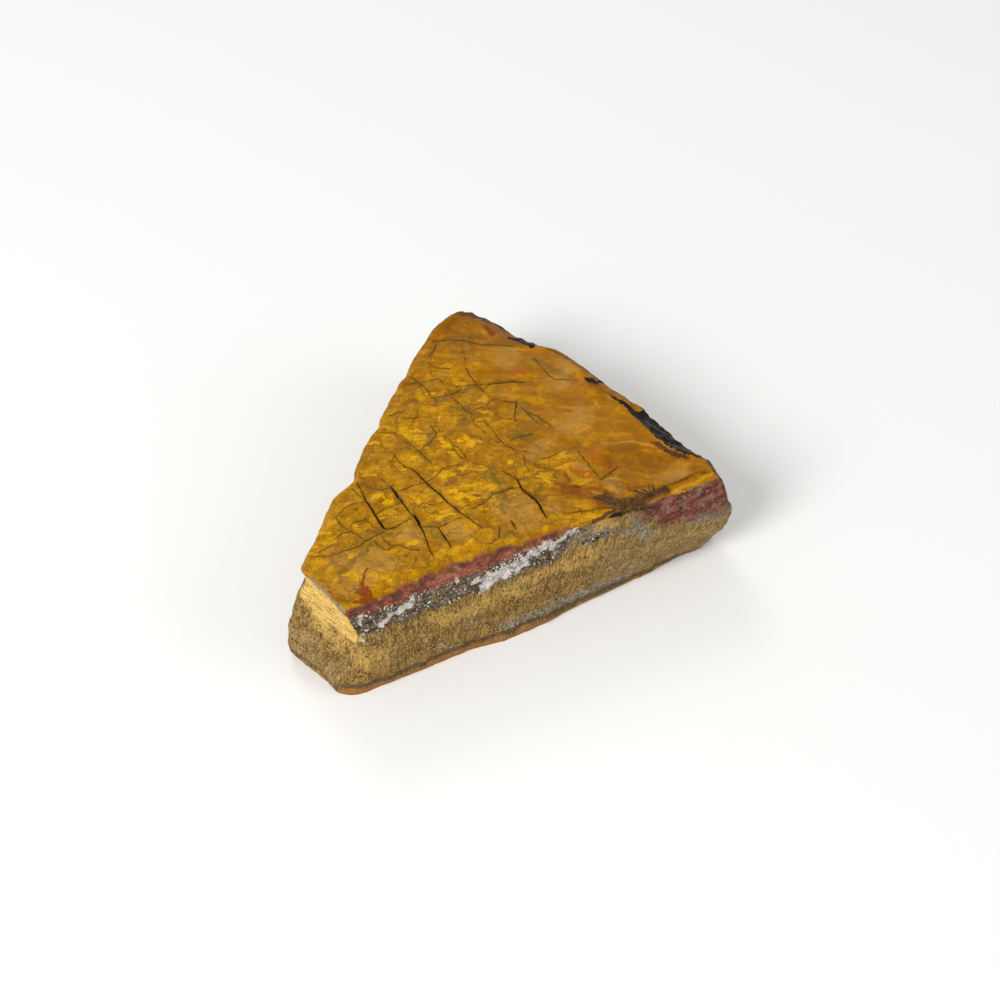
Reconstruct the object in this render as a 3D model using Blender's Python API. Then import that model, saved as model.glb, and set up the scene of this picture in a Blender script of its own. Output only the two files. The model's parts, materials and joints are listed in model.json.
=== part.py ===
"""A rough piece of tiger's eye broken from its seam: one solid stone that lies on its flat underside.

The stone is a loft from the edge of its top face, down a wall that swells and draws in, to its flat foot.
The top face is a sheet of low plates, flake scars and sloping edges, opened by a net of shrinkage cracks.
Lengths are in millimetres until a mesh is made, which is in metres. +X runs along the long front face,
+Z is up, and the origin is at the middle of the underside.
"""

import math

import bmesh
import bpy
import numpy as np
from mathutils import Vector, noise
from mathutils.geometry import delaunay_2d_cdt

MM = 0.001

# Driving sizes
HEIGHT = 22.0               # from the underside to the top face
MESH_STEP = 1.0             # spacing of the modelling mesh, before it is thinned
FOOT_STEP = 3.0             # spacing on the flat underside
WALL_ROWS = 22              # rings of the wall between the top edge and the foot
NET_CLEARANCE = 0.6         # how near a sheet's inner points come to its outline, in steps
TRIANGLES = 8600            # what the stone is thinned to before the cracks are cut
FLAT_WITHIN = 0.05          # points this near the underside are set flat on it
SEED = 11

# The edge of the top face, anticlockwise: x, y, width of its sloping border and how far that drops
RIM = [
    (-37.8, -32.0, 1.2, 0.7), (-34.0, -32.6, 1.8, 1.0), (-24.0, -32.4, 3.6, 1.3),       # front face
    (-14.0, -32.6, 5.0, 1.4), (-6.0, -32.2, 3.4, 1.2), (2.0, -32.4, 2.3, 1.0),
    (10.0, -31.9, 2.4, 0.9), (18.0, -32.3, 1.8, 0.8), (26.0, -32.6, 1.0, 0.7),
    (34.0, -32.8, 0.8, 0.5), (39.6, -32.8, 0.8, 0.5), (41.8, -32.2, 0.6, 0.4),          # right-hand corner
    (42.2, -28.4, 1.0, 0.9), (42.3, -24.8, 2.7, 2.2), (41.2, -20.8, 3.6, 2.6),          # black border
    (40.4, -16.0, 4.1, 2.7), (39.6, -11.6, 4.3, 2.6), (38.9, -7.1, 4.6, 2.1),
    (37.0, -3.4, 3.8, 1.6), (35.4, 1.2, 2.6, 1.1), (34.2, 3.8, 0.7, 0.4),
    (33.4, 7.4, 0.5, 0.3), (32.4, 10.9, 0.5, 0.3), (31.2, 14.4, 0.5, 0.3),
    (29.2, 16.6, 0.6, 0.4), (28.4, 19.2, 1.8, 1.2), (27.7, 21.9, 3.6, 2.0),
    (26.3, 24.2, 3.6, 2.1), (25.4, 28.1, 3.8, 2.0), (23.8, 30.9, 3.5, 1.8),
    (21.8, 33.6, 2.6, 1.3), (19.3, 34.8, 1.3, 0.6), (16.6, 34.2, 0.5, 0.3),             # apex
    (11.6, 31.9, 0.5, 0.3), (8.0, 28.7, 0.5, 0.3), (4.0, 25.4, 0.5, 0.3),               # long back edge
    (1.2, 22.6, 0.6, 0.4), (0.2, 21.2, 0.6, 0.4), (-2.0, 19.9, 0.5, 0.3),
    (-3.2, 18.2, 0.5, 0.3), (-5.4, 16.6, 0.5, 0.3), (-8.0, 13.8, 0.5, 0.3),
    (-10.1, 11.8, 0.6, 0.4), (-11.0, 10.0, 0.6, 0.4), (-12.4, 9.2, 0.5, 0.3),
    (-16.2, 6.0, 0.5, 0.3), (-20.0, 1.5, 0.5, 0.3), (-21.0, 0.2, 0.6, 0.4),
    (-21.6, -1.4, 0.6, 0.4), (-24.4, -2.9, 0.5, 0.3), (-27.2, -4.0, 0.5, 0.3),
    (-30.4, -7.4, 0.5, 0.3), (-32.4, -9.9, 0.5, 0.3), (-35.0, -12.8, 0.5, 0.3),
    (-38.2, -15.9, 0.5, 0.3), (-40.2, -17.9, 0.5, 0.3), (-40.4, -19.4, 0.5, 0.3),       # back-left corner
    (-39.3, -22.4, 0.5, 0.3), (-38.4, -26.2, 0.5, 0.3), (-38.0, -29.4, 0.6, 0.4),       # thin lip of the end
]

# How far the wall stands out from the top edge at each depth, as a share of the height at that place
DEPTHS = (0.0, 0.10, 0.27, 0.50, 0.80, 0.95, 1.0)
WALL = [    # index in RIM, direction outwards, and the distance at each depth
    (0, (-1.0, 0.1), (0.0, -0.9, -2.0, -2.4, 0.2, 1.8, 1.9)),
    (1, (0.0, -1.0), (0.0, 0.0, -0.1, 0.5, 0.9, 1.2, 0.9)),
    (2, (0.0, -1.0), (0.0, 0.0, 0.0, 0.7, 0.9, 1.2, 1.0)),
    (3, (0.0, -1.0), (0.0, 0.0, -0.1, 0.5, 0.5, 0.7, 0.5)),
    (4, (0.0, -1.0), (0.0, -0.1, -0.1, 0.6, 0.8, 1.9, 1.9)),
    (5, (0.0, -1.0), (0.0, -0.2, -0.1, 0.6, 0.9, 1.6, 1.4)),
    (6, (0.0, -1.0), (0.0, -0.3, 0.4, 0.9, 0.8, 0.9, 0.7)),
    (7, (0.0, -1.0), (0.0, 0.0, 0.3, 0.6, 0.3, 0.1, -0.3)),
    (8, (0.0, -1.0), (0.0, 0.1, 0.4, 0.6, 0.0, -0.7, -1.0)),
    (9, (0.1, -1.0), (0.0, 0.2, 0.6, 0.7, -0.6, -1.8, -2.4)),
    (11, (0.8, -0.6), (0.0, 1.0, 2.2, 2.9, -0.2, -2.5, -3.4)),
    (12, (1.0, 0.0), (0.0, 0.6, 1.4, 2.2, 1.9, 1.0, 0.2)),
    (14, (1.0, 0.1), (0.0, 0.3, 0.9, 1.6, 1.4, 0.6, -0.2)),
    (16, (1.0, 0.2), (0.0, 0.2, 0.8, 1.6, 1.2, 0.3, -0.6)),
    (19, (0.95, 0.3), (0.0, 0.3, 1.0, 1.8, 1.2, 0.2, -0.8)),
    (23, (0.9, 0.4), (0.0, 0.2, 0.8, 1.3, 0.8, -0.2, -1.0)),
    (27, (0.95, 0.3), (0.0, 0.2, 0.7, 1.0, 0.4, -0.4, -1.2)),
    (31, (0.3, 0.95), (0.0, -0.1, -0.1, -0.1, -0.7, -1.5, -2.2)),
    (37, (-0.7, 0.7), (0.0, 0.1, 0.4, 0.9, 0.5, -0.3, -1.2)),
    (46, (-0.7, 0.7), (0.0, 0.0, 0.5, 1.2, 0.9, 0.1, -0.8)),
    (53, (-0.7, 0.7), (0.0, -0.1, 0.5, 1.4, 1.6, 1.0, 0.2)),
    (56, (-1.0, 0.2), (0.0, -0.8, 0.5, 2.2, 3.9, 4.0, 3.3)),
    (58, (-1.0, 0.0), (0.0, -0.4, 0.3, 0.9, 2.6, 3.2, 2.8)),
]

# Flake scars on the top face: centre x and y, half width, half depth, turn in degrees, depth of the hollow
SCARS = [
    (29.0, -23.6, 10.5, 6.4, -20.0, 0.9), (25.5, -11.0, 8.0, 4.4, 8.0, 0.45),
    (14.6, -17.0, 5.4, 8.0, 5.0, 0.5), (27.4, 6.0, 5.6, 7.2, 20.0, 0.4),
    (8.8, -23.0, 2.6, 5.0, 0.0, 0.35), (-27.8, -20.4, 3.6, 2.4, 0.0, 0.3),
    (-6.4, 6.0, 4.4, 5.0, 0.0, 0.35), (2.6, -22.6, 4.4, 4.8, 0.0, 0.3),
    (-9.8, -17.0, 5.4, 2.6, 12.0, 0.25),
]
PLATE = 6.5                 # width of a plate of the top face
PLATE_STEP = 0.16           # how far neighbouring plates stand above or below each other
PLATE_TILT = 0.03
PLATE_JITTER = 0.35         # how far a plate's centre lies off its even place, as a share of its width
PLATE_REACH = 48.0          # plates are laid out this far to each side of the origin
SMOOTH_FROM_X = 19.0        # to the right of this the top face is smooth, with scars and few plates
SMOOTH_RUN = 2.0            # over which the plates fade, to each side of that
SMOOTHED = 0.85             # share of the plates' relief that is gone there
EDGE_FADE = (0.5, 2.5)      # from the top edge inwards, where the top face's relief sets in

# The ledge along the right-hand end of the front edge, and the slope beyond the joint near the apex
LEDGE_X, LEDGE_Y, LEDGE_DROP = 29.6, -30.7, 0.45
LEDGE_RUN_X, LEDGE_RUN_Y = 0.6, 0.3
APEX_JOINT = ((10.0, 28.5), (24.0, 19.5))
APEX_SLOPE = 0.05

# Lumps: how far they stand out, their size, and the layer of the noise or how much they are stretched upwards
BROAD_LUMPS = (0.2, 9.0, 0.0)       # top face
SMALL_LUMPS = (0.1, 3.0, 40.0)
BORDER_LUMPS = (0.35, 2.2, 90.0)    # its dark sloping borders
BORDER_FADE = (0.3, 0.8)            # drop of the border over which they set in
WALL_SWELLS = (0.35, 6.0, 1.0)
WALL_LUMPS = (0.22, 2.4, 0.6)
WALL_FADE = (0.0, 0.08)             # depth over which the wall's lumps set in
FOOT_FADE = (0.93, 1.0)             # and over which they halve towards the foot

# Bands of the front wall: the fibre band stands proud below this height, and a groove runs above the foot
FIBRE_BAND_TOP, FIBRE_BAND_PROUD, FIBRE_BAND_RUN = 13.6, 0.4, 0.5
FRONT_Y = (-28.0, -31.0)            # the front wall begins between these
GROOVE_HEIGHT, GROOVE_WIDTH, GROOVE_DEPTH = 2.1, 0.7, 0.35

# Open cracks of the top face: points along each, as x, y and width, and its depth
CRACKS = [
    (2.6, [(-22.0, -5.6, 0.1), (-22.1, -9.0, 0.42), (-22.0, -12.5, 0.42), (-22.1, -15.7, 0.5),
           (-20.3, -16.7, 0.35), (-17.4, -16.3, 0.1)]),
    (2.2, [(-16.4, -6.2, 0.1), (-16.3, -8.6, 0.6), (-16.0, -11.2, 0.3), (-15.95, -14.6, 0.2),
           (-15.9, -15.3, 0.1)]),
    (3.0, [(-15.55, -15.3, 0.7), (-15.6, -16.6, 0.75), (-15.85, -18.5, 0.35), (-16.1, -20.5, 0.2),
           (-16.8, -24.6, 0.1)]),
    (2.6, [(-11.8, -1.0, 0.1), (-10.3, -4.0, 0.3), (-9.7, -9.0, 0.36), (-8.6, -14.0, 0.34),
           (-7.4, -19.5, 0.3), (-5.7, -24.2, 0.1)]),
    (2.4, [(-13.0, -20.3, 0.15), (-13.0, -23.6, 0.36), (-13.2, -26.2, 0.15)]),
    (3.2, [(4.9, -12.4, 0.1), (6.3, -15.9, 0.2), (6.0, -18.2, 0.4), (6.7, -20.4, 0.8), (6.85, -23.0, 0.6),
           (6.6, -25.6, 0.35), (6.4, -27.6, 0.1)]),
    (2.0, [(-0.05, -24.8, 0.1), (0.1, -25.9, 0.4), (-0.05, -27.0, 0.1)]),
    (1.6, [(12.8, 11.9, 0.1), (15.6, 10.7, 0.35), (18.4, 9.3, 0.45), (20.6, 8.3, 0.1)]),
]
CRACK_RISE = 1.4            # how far a crack's cutter reaches above the top face


def rough(x, y, z, size, octaves=3):
    """Even lumps of the given size, between about -1 and 1."""
    return noise.fractal(Vector((x, y, z)) / size, 0.9, 2.1, octaves)


def smoothstep(low, high, value):
    """0 below the first limit, 1 above the second, and a soft rise between them."""
    share = np.clip((value - low) / (high - low), 0.0, 1.0)
    return share * share * (3.0 - 2.0 * share)


def path_lengths(points):
    """The distance from the first corner to each corner of a closed outline, and its whole length."""
    sides = np.linalg.norm(np.roll(points, -1, axis=0) - points, axis=1)
    return np.concatenate([[0.0], np.cumsum(sides)])[:-1], sides.sum()


def rim_samples(step):
    """Evenly spaced points of the top edge with its border's width and drop, and how far along it each is."""
    table = np.array(RIM)
    at, whole = path_lengths(table[:, :2])
    count = round(whole / step)
    along = np.arange(count) * whole / count
    rim = np.stack([np.interp(along, at, table[:, k], period=whole) for k in range(4)], axis=1)
    softened = (np.roll(rim, 1, axis=0) + 2.0 * rim + np.roll(rim, -1, axis=0)) / 4.0
    return softened, along


def wall_directions(along):
    """Outward direction and distances at the stated depths, for each point of the top edge."""
    at, whole = path_lengths(np.array(RIM)[:, :2])
    places = [at[index] for index, _, _ in WALL]

    def between_rows(column, k):
        return np.interp(along, places, [row[column][k] for row in WALL], period=whole)

    directions = np.stack([between_rows(1, k) for k in (0, 1)], axis=1)
    directions /= np.linalg.norm(directions, axis=1, keepdims=True)
    distances = np.stack([between_rows(2, k) for k in range(len(DEPTHS))], axis=1)
    return directions, distances


def distance_at(distances, share):
    """The wall's distance at one depth, on a smooth curve through the distances at the stated depths."""
    k = min(int(np.searchsorted(DEPTHS, share, side="right")) - 1, len(DEPTHS) - 2)
    span = DEPTHS[k + 1] - DEPTHS[k]
    u = (share - DEPTHS[k]) / span
    slopes = np.gradient(distances, DEPTHS, axis=1) * span
    here = (2 * u**3 - 3 * u**2 + 1) * distances[:, k] + (u**3 - 2 * u**2 + u) * slopes[:, k]
    return here + (3 * u**2 - 2 * u**3) * distances[:, k + 1] + (u**3 - u**2) * slopes[:, k + 1]


def nearest_rim(points, rim):
    """The distance from each point to the top edge, and the border's width and drop there."""
    ends = np.roll(rim, -1, axis=0)
    best = np.full(len(points), np.inf)
    found = np.zeros((len(points), 2))
    for start, end in zip(rim, ends):
        side = end[:2] - start[:2]
        share = np.clip((points - start[:2]) @ side / (side @ side), 0.0, 1.0)
        distance = np.linalg.norm(points - start[:2] - share[:, None] * side, axis=1)
        nearer = distance < best
        best[nearer] = distance[nearer]
        found[nearer] = (start[2:] + share[:, None] * (end[2:] - start[2:]))[nearer]
    return best, found[:, 0], found[:, 1]


def plate_heights(points):
    """Low plates with sharp joints: each point takes the level and tilt of its nearest plate centre."""
    draw = np.random.default_rng(SEED)
    grid = np.arange(-PLATE_REACH, PLATE_REACH + 1.0, PLATE)
    centres = np.array([(x, y) for x in grid for y in grid])
    centres += draw.uniform(-PLATE_JITTER, PLATE_JITTER, centres.shape) * PLATE
    levels = draw.uniform(-PLATE_STEP, PLATE_STEP, len(centres))
    tilts = draw.uniform(-PLATE_TILT, PLATE_TILT, (len(centres), 2))
    own = np.argmin(((points[:, None, :] - centres[None, :, :]) ** 2).sum(axis=2), axis=1)
    heights = levels[own] + ((points - centres[own]) * tilts[own]).sum(axis=1)
    smooth = smoothstep(SMOOTH_FROM_X - SMOOTH_RUN, SMOOTH_FROM_X + SMOOTH_RUN, points[:, 0])
    return heights * (1.0 - SMOOTHED * smooth)


def scar_depths(points):
    """Hollows left by flakes, sharp at their edges and smooth inside."""
    depths = np.zeros(len(points))
    for x, y, half_width, half_depth, turn, depth in SCARS:
        angle = math.radians(turn)
        across = (points[:, 0] - x) * math.cos(angle) + (points[:, 1] - y) * math.sin(angle)
        along = (points[:, 1] - y) * math.cos(angle) - (points[:, 0] - x) * math.sin(angle)
        radius = (across / half_width) ** 2 + (along / half_depth) ** 2
        depths = np.maximum(depths, depth * np.clip(1.0 - radius, 0.0, 1.0))
    return depths


def top_heights(points, rim):
    """Height of the top face above the underside at each point."""
    distance, width, drop = nearest_rim(points, rim)
    border = drop * np.clip(1.0 - distance / width, 0.0, 1.0)
    inside = smoothstep(*EDGE_FADE, distance)
    heights = HEIGHT - border - scar_depths(points) * inside + plate_heights(points) * inside
    ledge = smoothstep(LEDGE_X - LEDGE_RUN_X, LEDGE_X + LEDGE_RUN_X, points[:, 0])
    ledge *= smoothstep(LEDGE_Y + LEDGE_RUN_Y, LEDGE_Y - LEDGE_RUN_Y, points[:, 1])
    heights -= LEDGE_DROP * ledge
    (x0, y0), (x1, y1) = APEX_JOINT
    across = np.array([y0 - y1, x1 - x0]) / math.hypot(x1 - x0, y1 - y0)
    heights -= APEX_SLOPE * np.clip((points - (x0, y0)) @ across, 0.0, None) * inside
    for (reach, size, layer), share in (
            (BROAD_LUMPS, inside), (SMALL_LUMPS, inside), (BORDER_LUMPS, smoothstep(*BORDER_FADE, border))):
        heights += reach * np.array([rough(x, y, layer, size) for x, y in points]) * share
    return heights


def wall_relief(x, y, z):
    """How far the rough wall stands out from its smooth form at a place."""
    relief = sum(reach * rough(x, y, z * stretch, size) for reach, size, stretch in (WALL_SWELLS, WALL_LUMPS))
    front = float(smoothstep(*FRONT_Y, y))
    band = float(smoothstep(FIBRE_BAND_TOP + FIBRE_BAND_RUN, FIBRE_BAND_TOP - FIBRE_BAND_RUN, z))
    relief += FIBRE_BAND_PROUD * front * band
    groove = math.exp(-(((z - GROOVE_HEIGHT) / GROOVE_WIDTH) ** 2))
    return relief - GROOVE_DEPTH * groove


def wall_rings(rim, along):
    """Rings of the stone from the edge of the top face down to the foot."""
    directions, distances = wall_directions(along)
    tops = top_heights(rim[:, :2], rim)
    rings = []
    for share in np.linspace(0.0, 1.0, WALL_ROWS + 1):
        out = distance_at(distances, share)
        heights = tops * (1.0 - share)
        ring = rim[:, :2] + directions * out[:, None]
        fade = float(smoothstep(*WALL_FADE, share) * (1.0 - 0.5 * smoothstep(*FOOT_FADE, share)))
        relief = np.array([wall_relief(x, y, z) for (x, y), z in zip(ring, heights)]) * fade
        rings.append(np.column_stack([ring + directions * relief[:, None], heights]))
    return rings


def sheet(outline, step):
    """Points and triangles that fill an outline with an even net of the given spacing."""
    low, high = outline.min(axis=0), outline.max(axis=0)
    rows = np.arange(low[1], high[1], step * math.sqrt(0.75))
    columns = np.arange(low[0], high[0], step)
    net = np.array([(x + (k % 2) * step / 2.0, y) for k, y in enumerate(rows) for x in columns])
    rim = np.column_stack([outline, np.zeros((len(outline), 2))])
    net = net[nearest_rim(net, rim)[0] > NET_CLEARANCE * step]
    count = len(outline)
    edges = [(k, (k + 1) % count) for k in range(count)]
    points = [Vector(p) for p in np.concatenate([outline, net])]
    found = delaunay_2d_cdt(points, edges, [], 1, 1e-6)
    return np.array([tuple(p) for p in found[0]]), [tuple(face) for face in found[2]]


def loft(bm, rings):
    """A band of faces between each closed ring of points and the next."""
    loops = [[bm.verts.new(point) for point in ring] for ring in rings]
    for upper, lower in zip(loops, loops[1:]):
        for k in range(len(upper)):
            after = (k + 1) % len(upper)
            bm.faces.new((upper[k], lower[k], lower[after], upper[after]))
    return loops


def add_sheet(bm, loop, points, triangles, heights, upwards):
    """A cap that shares the loop's points on its outline."""
    inner = np.column_stack([points, heights])[len(loop):] * MM
    own = loop + [bm.verts.new(point) for point in inner]
    for triangle in triangles:
        corners = [own[k] for k in triangle]
        bm.faces.new(corners if upwards else corners[::-1])


def object_from(bm, name, collection):
    """An object in a collection, made from a mesh under construction."""
    mesh = bpy.data.meshes.new(name)
    bm.to_mesh(mesh)
    bm.free()
    made = bpy.data.objects.new(name, mesh)
    collection.objects.link(made)
    return made


def stone_blank(collection):
    """The stone before its cracks are cut."""
    rim, along = rim_samples(MESH_STEP)
    rings = wall_rings(rim, along)
    bm = bmesh.new()
    loops = loft(bm, [ring * MM for ring in rings])
    top_points, top_triangles = sheet(rings[0][:, :2], MESH_STEP)
    add_sheet(bm, loops[0], top_points, top_triangles, top_heights(top_points, rim), True)
    foot_points, foot_triangles = sheet(rings[-1][:, :2], FOOT_STEP)
    add_sheet(bm, loops[-1], foot_points, foot_triangles, np.zeros(len(foot_points)), False)
    bmesh.ops.triangulate(bm, faces=bm.faces[:])
    bmesh.ops.recalc_face_normals(bm, faces=bm.faces[:])
    return object_from(bm, "tigers_eye_blank", collection)


def thinned(blank, name, collection):
    """A copy with fewer triangles, the most left where the relief turns, and its underside set flat."""
    thin = blank.modifiers.new("thin", "DECIMATE")
    thin.ratio = TRIANGLES / len(blank.data.polygons)
    evaluated = blank.evaluated_get(bpy.context.evaluated_depsgraph_get())
    mesh = bpy.data.meshes.new_from_object(evaluated)
    bpy.data.objects.remove(blank)
    mesh.name = name
    for vertex in mesh.vertices:
        if vertex.co.z < FLAT_WITHIN * MM:
            vertex.co.z = 0.0
    made = bpy.data.objects.new(name, mesh)
    collection.objects.link(made)
    return made


def crack_cutter(name, depth, points, collection):
    """A wedge along one crack, as wide as its mouth at the top face and closing to nothing below."""
    line = np.array(points)
    ahead = np.gradient(line[:, :2], axis=0)
    ahead /= np.linalg.norm(ahead, axis=1, keepdims=True)
    sideways = np.column_stack([-ahead[:, 1], ahead[:, 0]])
    sections = []
    for (x, y, width), (side_x, side_y) in zip(line, sideways):
        half = width / 2.0 * (depth + CRACK_RISE) / depth
        top = HEIGHT + CRACK_RISE
        sections.append([
            Vector((x - side_x * half, y - side_y * half, top)) * MM,
            Vector((x + side_x * half, y + side_y * half, top)) * MM,
            Vector((x, y, HEIGHT - depth)) * MM,
        ])
    bm = bmesh.new()
    loops = loft(bm, sections)
    for end in (loops[0], loops[-1]):
        bm.faces.new(end)
    bmesh.ops.recalc_face_normals(bm, faces=bm.faces[:])
    cutter = object_from(bm, name, collection)
    cutter.hide_render = True
    cutter.display_type = "WIRE"
    return cutter


def tigers_eye_material():
    """Golden-brown silky quartz, as the broken top face shows it."""
    material = bpy.data.materials.new("tigers_eye")
    material.use_nodes = True
    shader = material.node_tree.nodes["Principled BSDF"]
    shader.inputs["Base Color"].default_value = (0.42, 0.21, 0.02, 1.0)
    shader.inputs["Roughness"].default_value = 0.42
    shader.inputs["Metallic"].default_value = 0.0
    return material


def build():
    """The finished stone, with its cracks cut."""
    for existing in list(bpy.data.objects):
        bpy.data.objects.remove(existing)
    parts = bpy.data.collections.new("rough_tigers_eye")
    cutters = bpy.data.collections.new("crack_cutters")
    for collection in (parts, cutters):
        bpy.context.scene.collection.children.link(collection)
    stone = thinned(stone_blank(parts), "tigers_eye_stone", parts)
    stone.data.materials.append(tigers_eye_material())
    for number, (depth, points) in enumerate(CRACKS, start=1):
        cut = stone.modifiers.new(f"crack {number}", "BOOLEAN")
        cut.operation = "DIFFERENCE"
        cut.solver = "EXACT"
        cut.object = crack_cutter(f"crack_{number}", depth, points, cutters)


build()
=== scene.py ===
# Rough tiger's eye: the finish of one natural stone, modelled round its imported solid.
# The stone is one closed mesh: a top face with its net of cracks, a fibrous wall and a flat foot.
import json
import math

import bpy
import numpy as np
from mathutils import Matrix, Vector, noise
from mathutils.geometry import delaunay_2d_cdt

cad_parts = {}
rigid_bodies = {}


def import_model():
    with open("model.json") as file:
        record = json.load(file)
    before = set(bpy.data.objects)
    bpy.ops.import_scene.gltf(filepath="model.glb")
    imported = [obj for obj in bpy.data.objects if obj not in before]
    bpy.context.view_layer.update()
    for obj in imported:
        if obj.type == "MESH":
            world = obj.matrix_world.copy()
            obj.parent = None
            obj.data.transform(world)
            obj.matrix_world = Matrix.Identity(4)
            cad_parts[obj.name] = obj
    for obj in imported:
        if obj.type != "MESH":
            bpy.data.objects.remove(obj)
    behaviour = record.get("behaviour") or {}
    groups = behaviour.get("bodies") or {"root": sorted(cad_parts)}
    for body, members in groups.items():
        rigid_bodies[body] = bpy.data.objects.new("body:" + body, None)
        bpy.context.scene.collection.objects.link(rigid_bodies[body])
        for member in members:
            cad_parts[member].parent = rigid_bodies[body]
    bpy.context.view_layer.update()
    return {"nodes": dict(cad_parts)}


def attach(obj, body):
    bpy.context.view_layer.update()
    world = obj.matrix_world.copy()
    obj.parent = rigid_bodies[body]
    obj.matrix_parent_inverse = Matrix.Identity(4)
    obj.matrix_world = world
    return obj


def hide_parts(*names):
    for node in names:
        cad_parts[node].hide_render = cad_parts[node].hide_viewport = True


for leftover in list(bpy.data.objects):
    bpy.data.objects.remove(leftover)
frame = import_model()
print("frame loaded:", ", ".join(frame["nodes"]))

mm = 0.001      # all the stone's own sizes below are in millimetres


def hexToLinear(code):
    channels = [int(code[k:k + 2], 16) / 255.0 for k in (1, 3, 5)]
    return tuple(c / 12.92 if c <= 0.04045 else ((c + 0.055) / 1.055) ** 2.4 for c in channels) + (1.0,)


def addNode(tree, kind, inputs=None, stops=None, **settings):
    node = tree.nodes.new(kind)
    for name, value in settings.items():
        setattr(node, name, value)
    for socket, value in (inputs or {}).items():
        if isinstance(value, bpy.types.NodeSocket):
            tree.links.new(value, node.inputs[socket])
        else:
            node.inputs[socket].default_value = hexToLinear(value) if isinstance(value, str) else value
    for number, (place, code) in enumerate(stops or []):
        ramp = node.color_ramp.elements
        stop = ramp[number] if number < 2 else ramp.new(place)
        stop.position = place
        stop.color = hexToLinear(code)
    return node


# Shape of the stone

stone = {
    "height": 22.0,             # underside to top face
    "topStep": 0.37,            # mesh spacing on the top face
    "rimStep": 0.37,            # and round its edge
    "wallRows": 54,
    "footStep": 0.9,
    "rimRagged": 0.10,          # how far the edge strays from its outline
    "insideRun": (0.5, 2.5),    # distance from the edge over which the relief of the top face sets in
    # plates of the top face: spacing, jitter, step and tilt, and how far and over what run they calm down
    "plates": (6.5, 0.35, 0.16, 0.03), "smoothFromX": 19.0, "smoothRun": 2.0, "smoothed": 0.85,
    # hollows of the broken surface: spacing, radius of the hollow and tilt
    "scoops": (4.4, 11.0, 0.07), "scoopsRight": (9.0, 34.0, 0.04), "chips": (1.5, 4.5, 0.07),
    "ledge": (29.6, -30.7, 0.45), "ledgeRun": (0.6, 0.15),
    # lumps: height, layer of the noise and size
    "topLumps": ((0.2, 0.0, 9.0), (0.1, 40.0, 3.0)), "topGrit": (0.015, 20.0, 0.9),
    "blackRun": (0.3, 0.8), "blackLumps": (0.35, 90.0, 2.2), "blackGrit": (0.10, 60.0, 0.9),
    "apexJoint": ((10.0, 28.5), (24.0, 19.5)), "apexSlope": 0.05,
    # the chips of the top face: where the broken left gives way to the smooth right, how they are scattered,
    # the size of the broken spots, and the share that is left of their depth on the right
    "leftRun": (22.0, 14.0), "brokenRun": (-0.15, 0.25), "brokenSize": 5.0, "brokenRight": 0.25,
    # relief of the walls: depth and size, and for the second how far it is drawn out
    "wallLumps": (0.35, 6.0), "wallSwells": (0.22, 2.4, 0.6),
    "fibreBandTop": 13.6, "fibreBandProud": 0.4,
    "groove": (2.1, 0.7, 0.35),  # height, width and depth of the groove above the foot
    "splinters": (1.3, 2.6, 0.14), "splinterLength": 3.4,  # hollows between the fibre bundles of the wall
    "fibreRidge": 0.05,         # and the finer relief on them, in bundles and layers of these lengths
    "bundle": (0.8, 2.2), "layer": (9.0, 1.1),
    "grainRelief": 0.16,        # relief of the grains in the dark band
    # how far bands and patches stray from their course, on the front, round the back and on the top face, in
    # waves of these lengths on wall and top, and where along the edge the front turns into the back
    "wander": (0.5, 1.6, 0.45), "wanderSizes": (3.5, 2.6), "backStarts": (80.0, 92.0),
    "warmRun": (-24.0, 34.0), "warmWay": (1.0, 0.35),   # the gold gets warmer along this way
    "sharpAngle": 50.0,
    "seed": 11,
}

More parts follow.
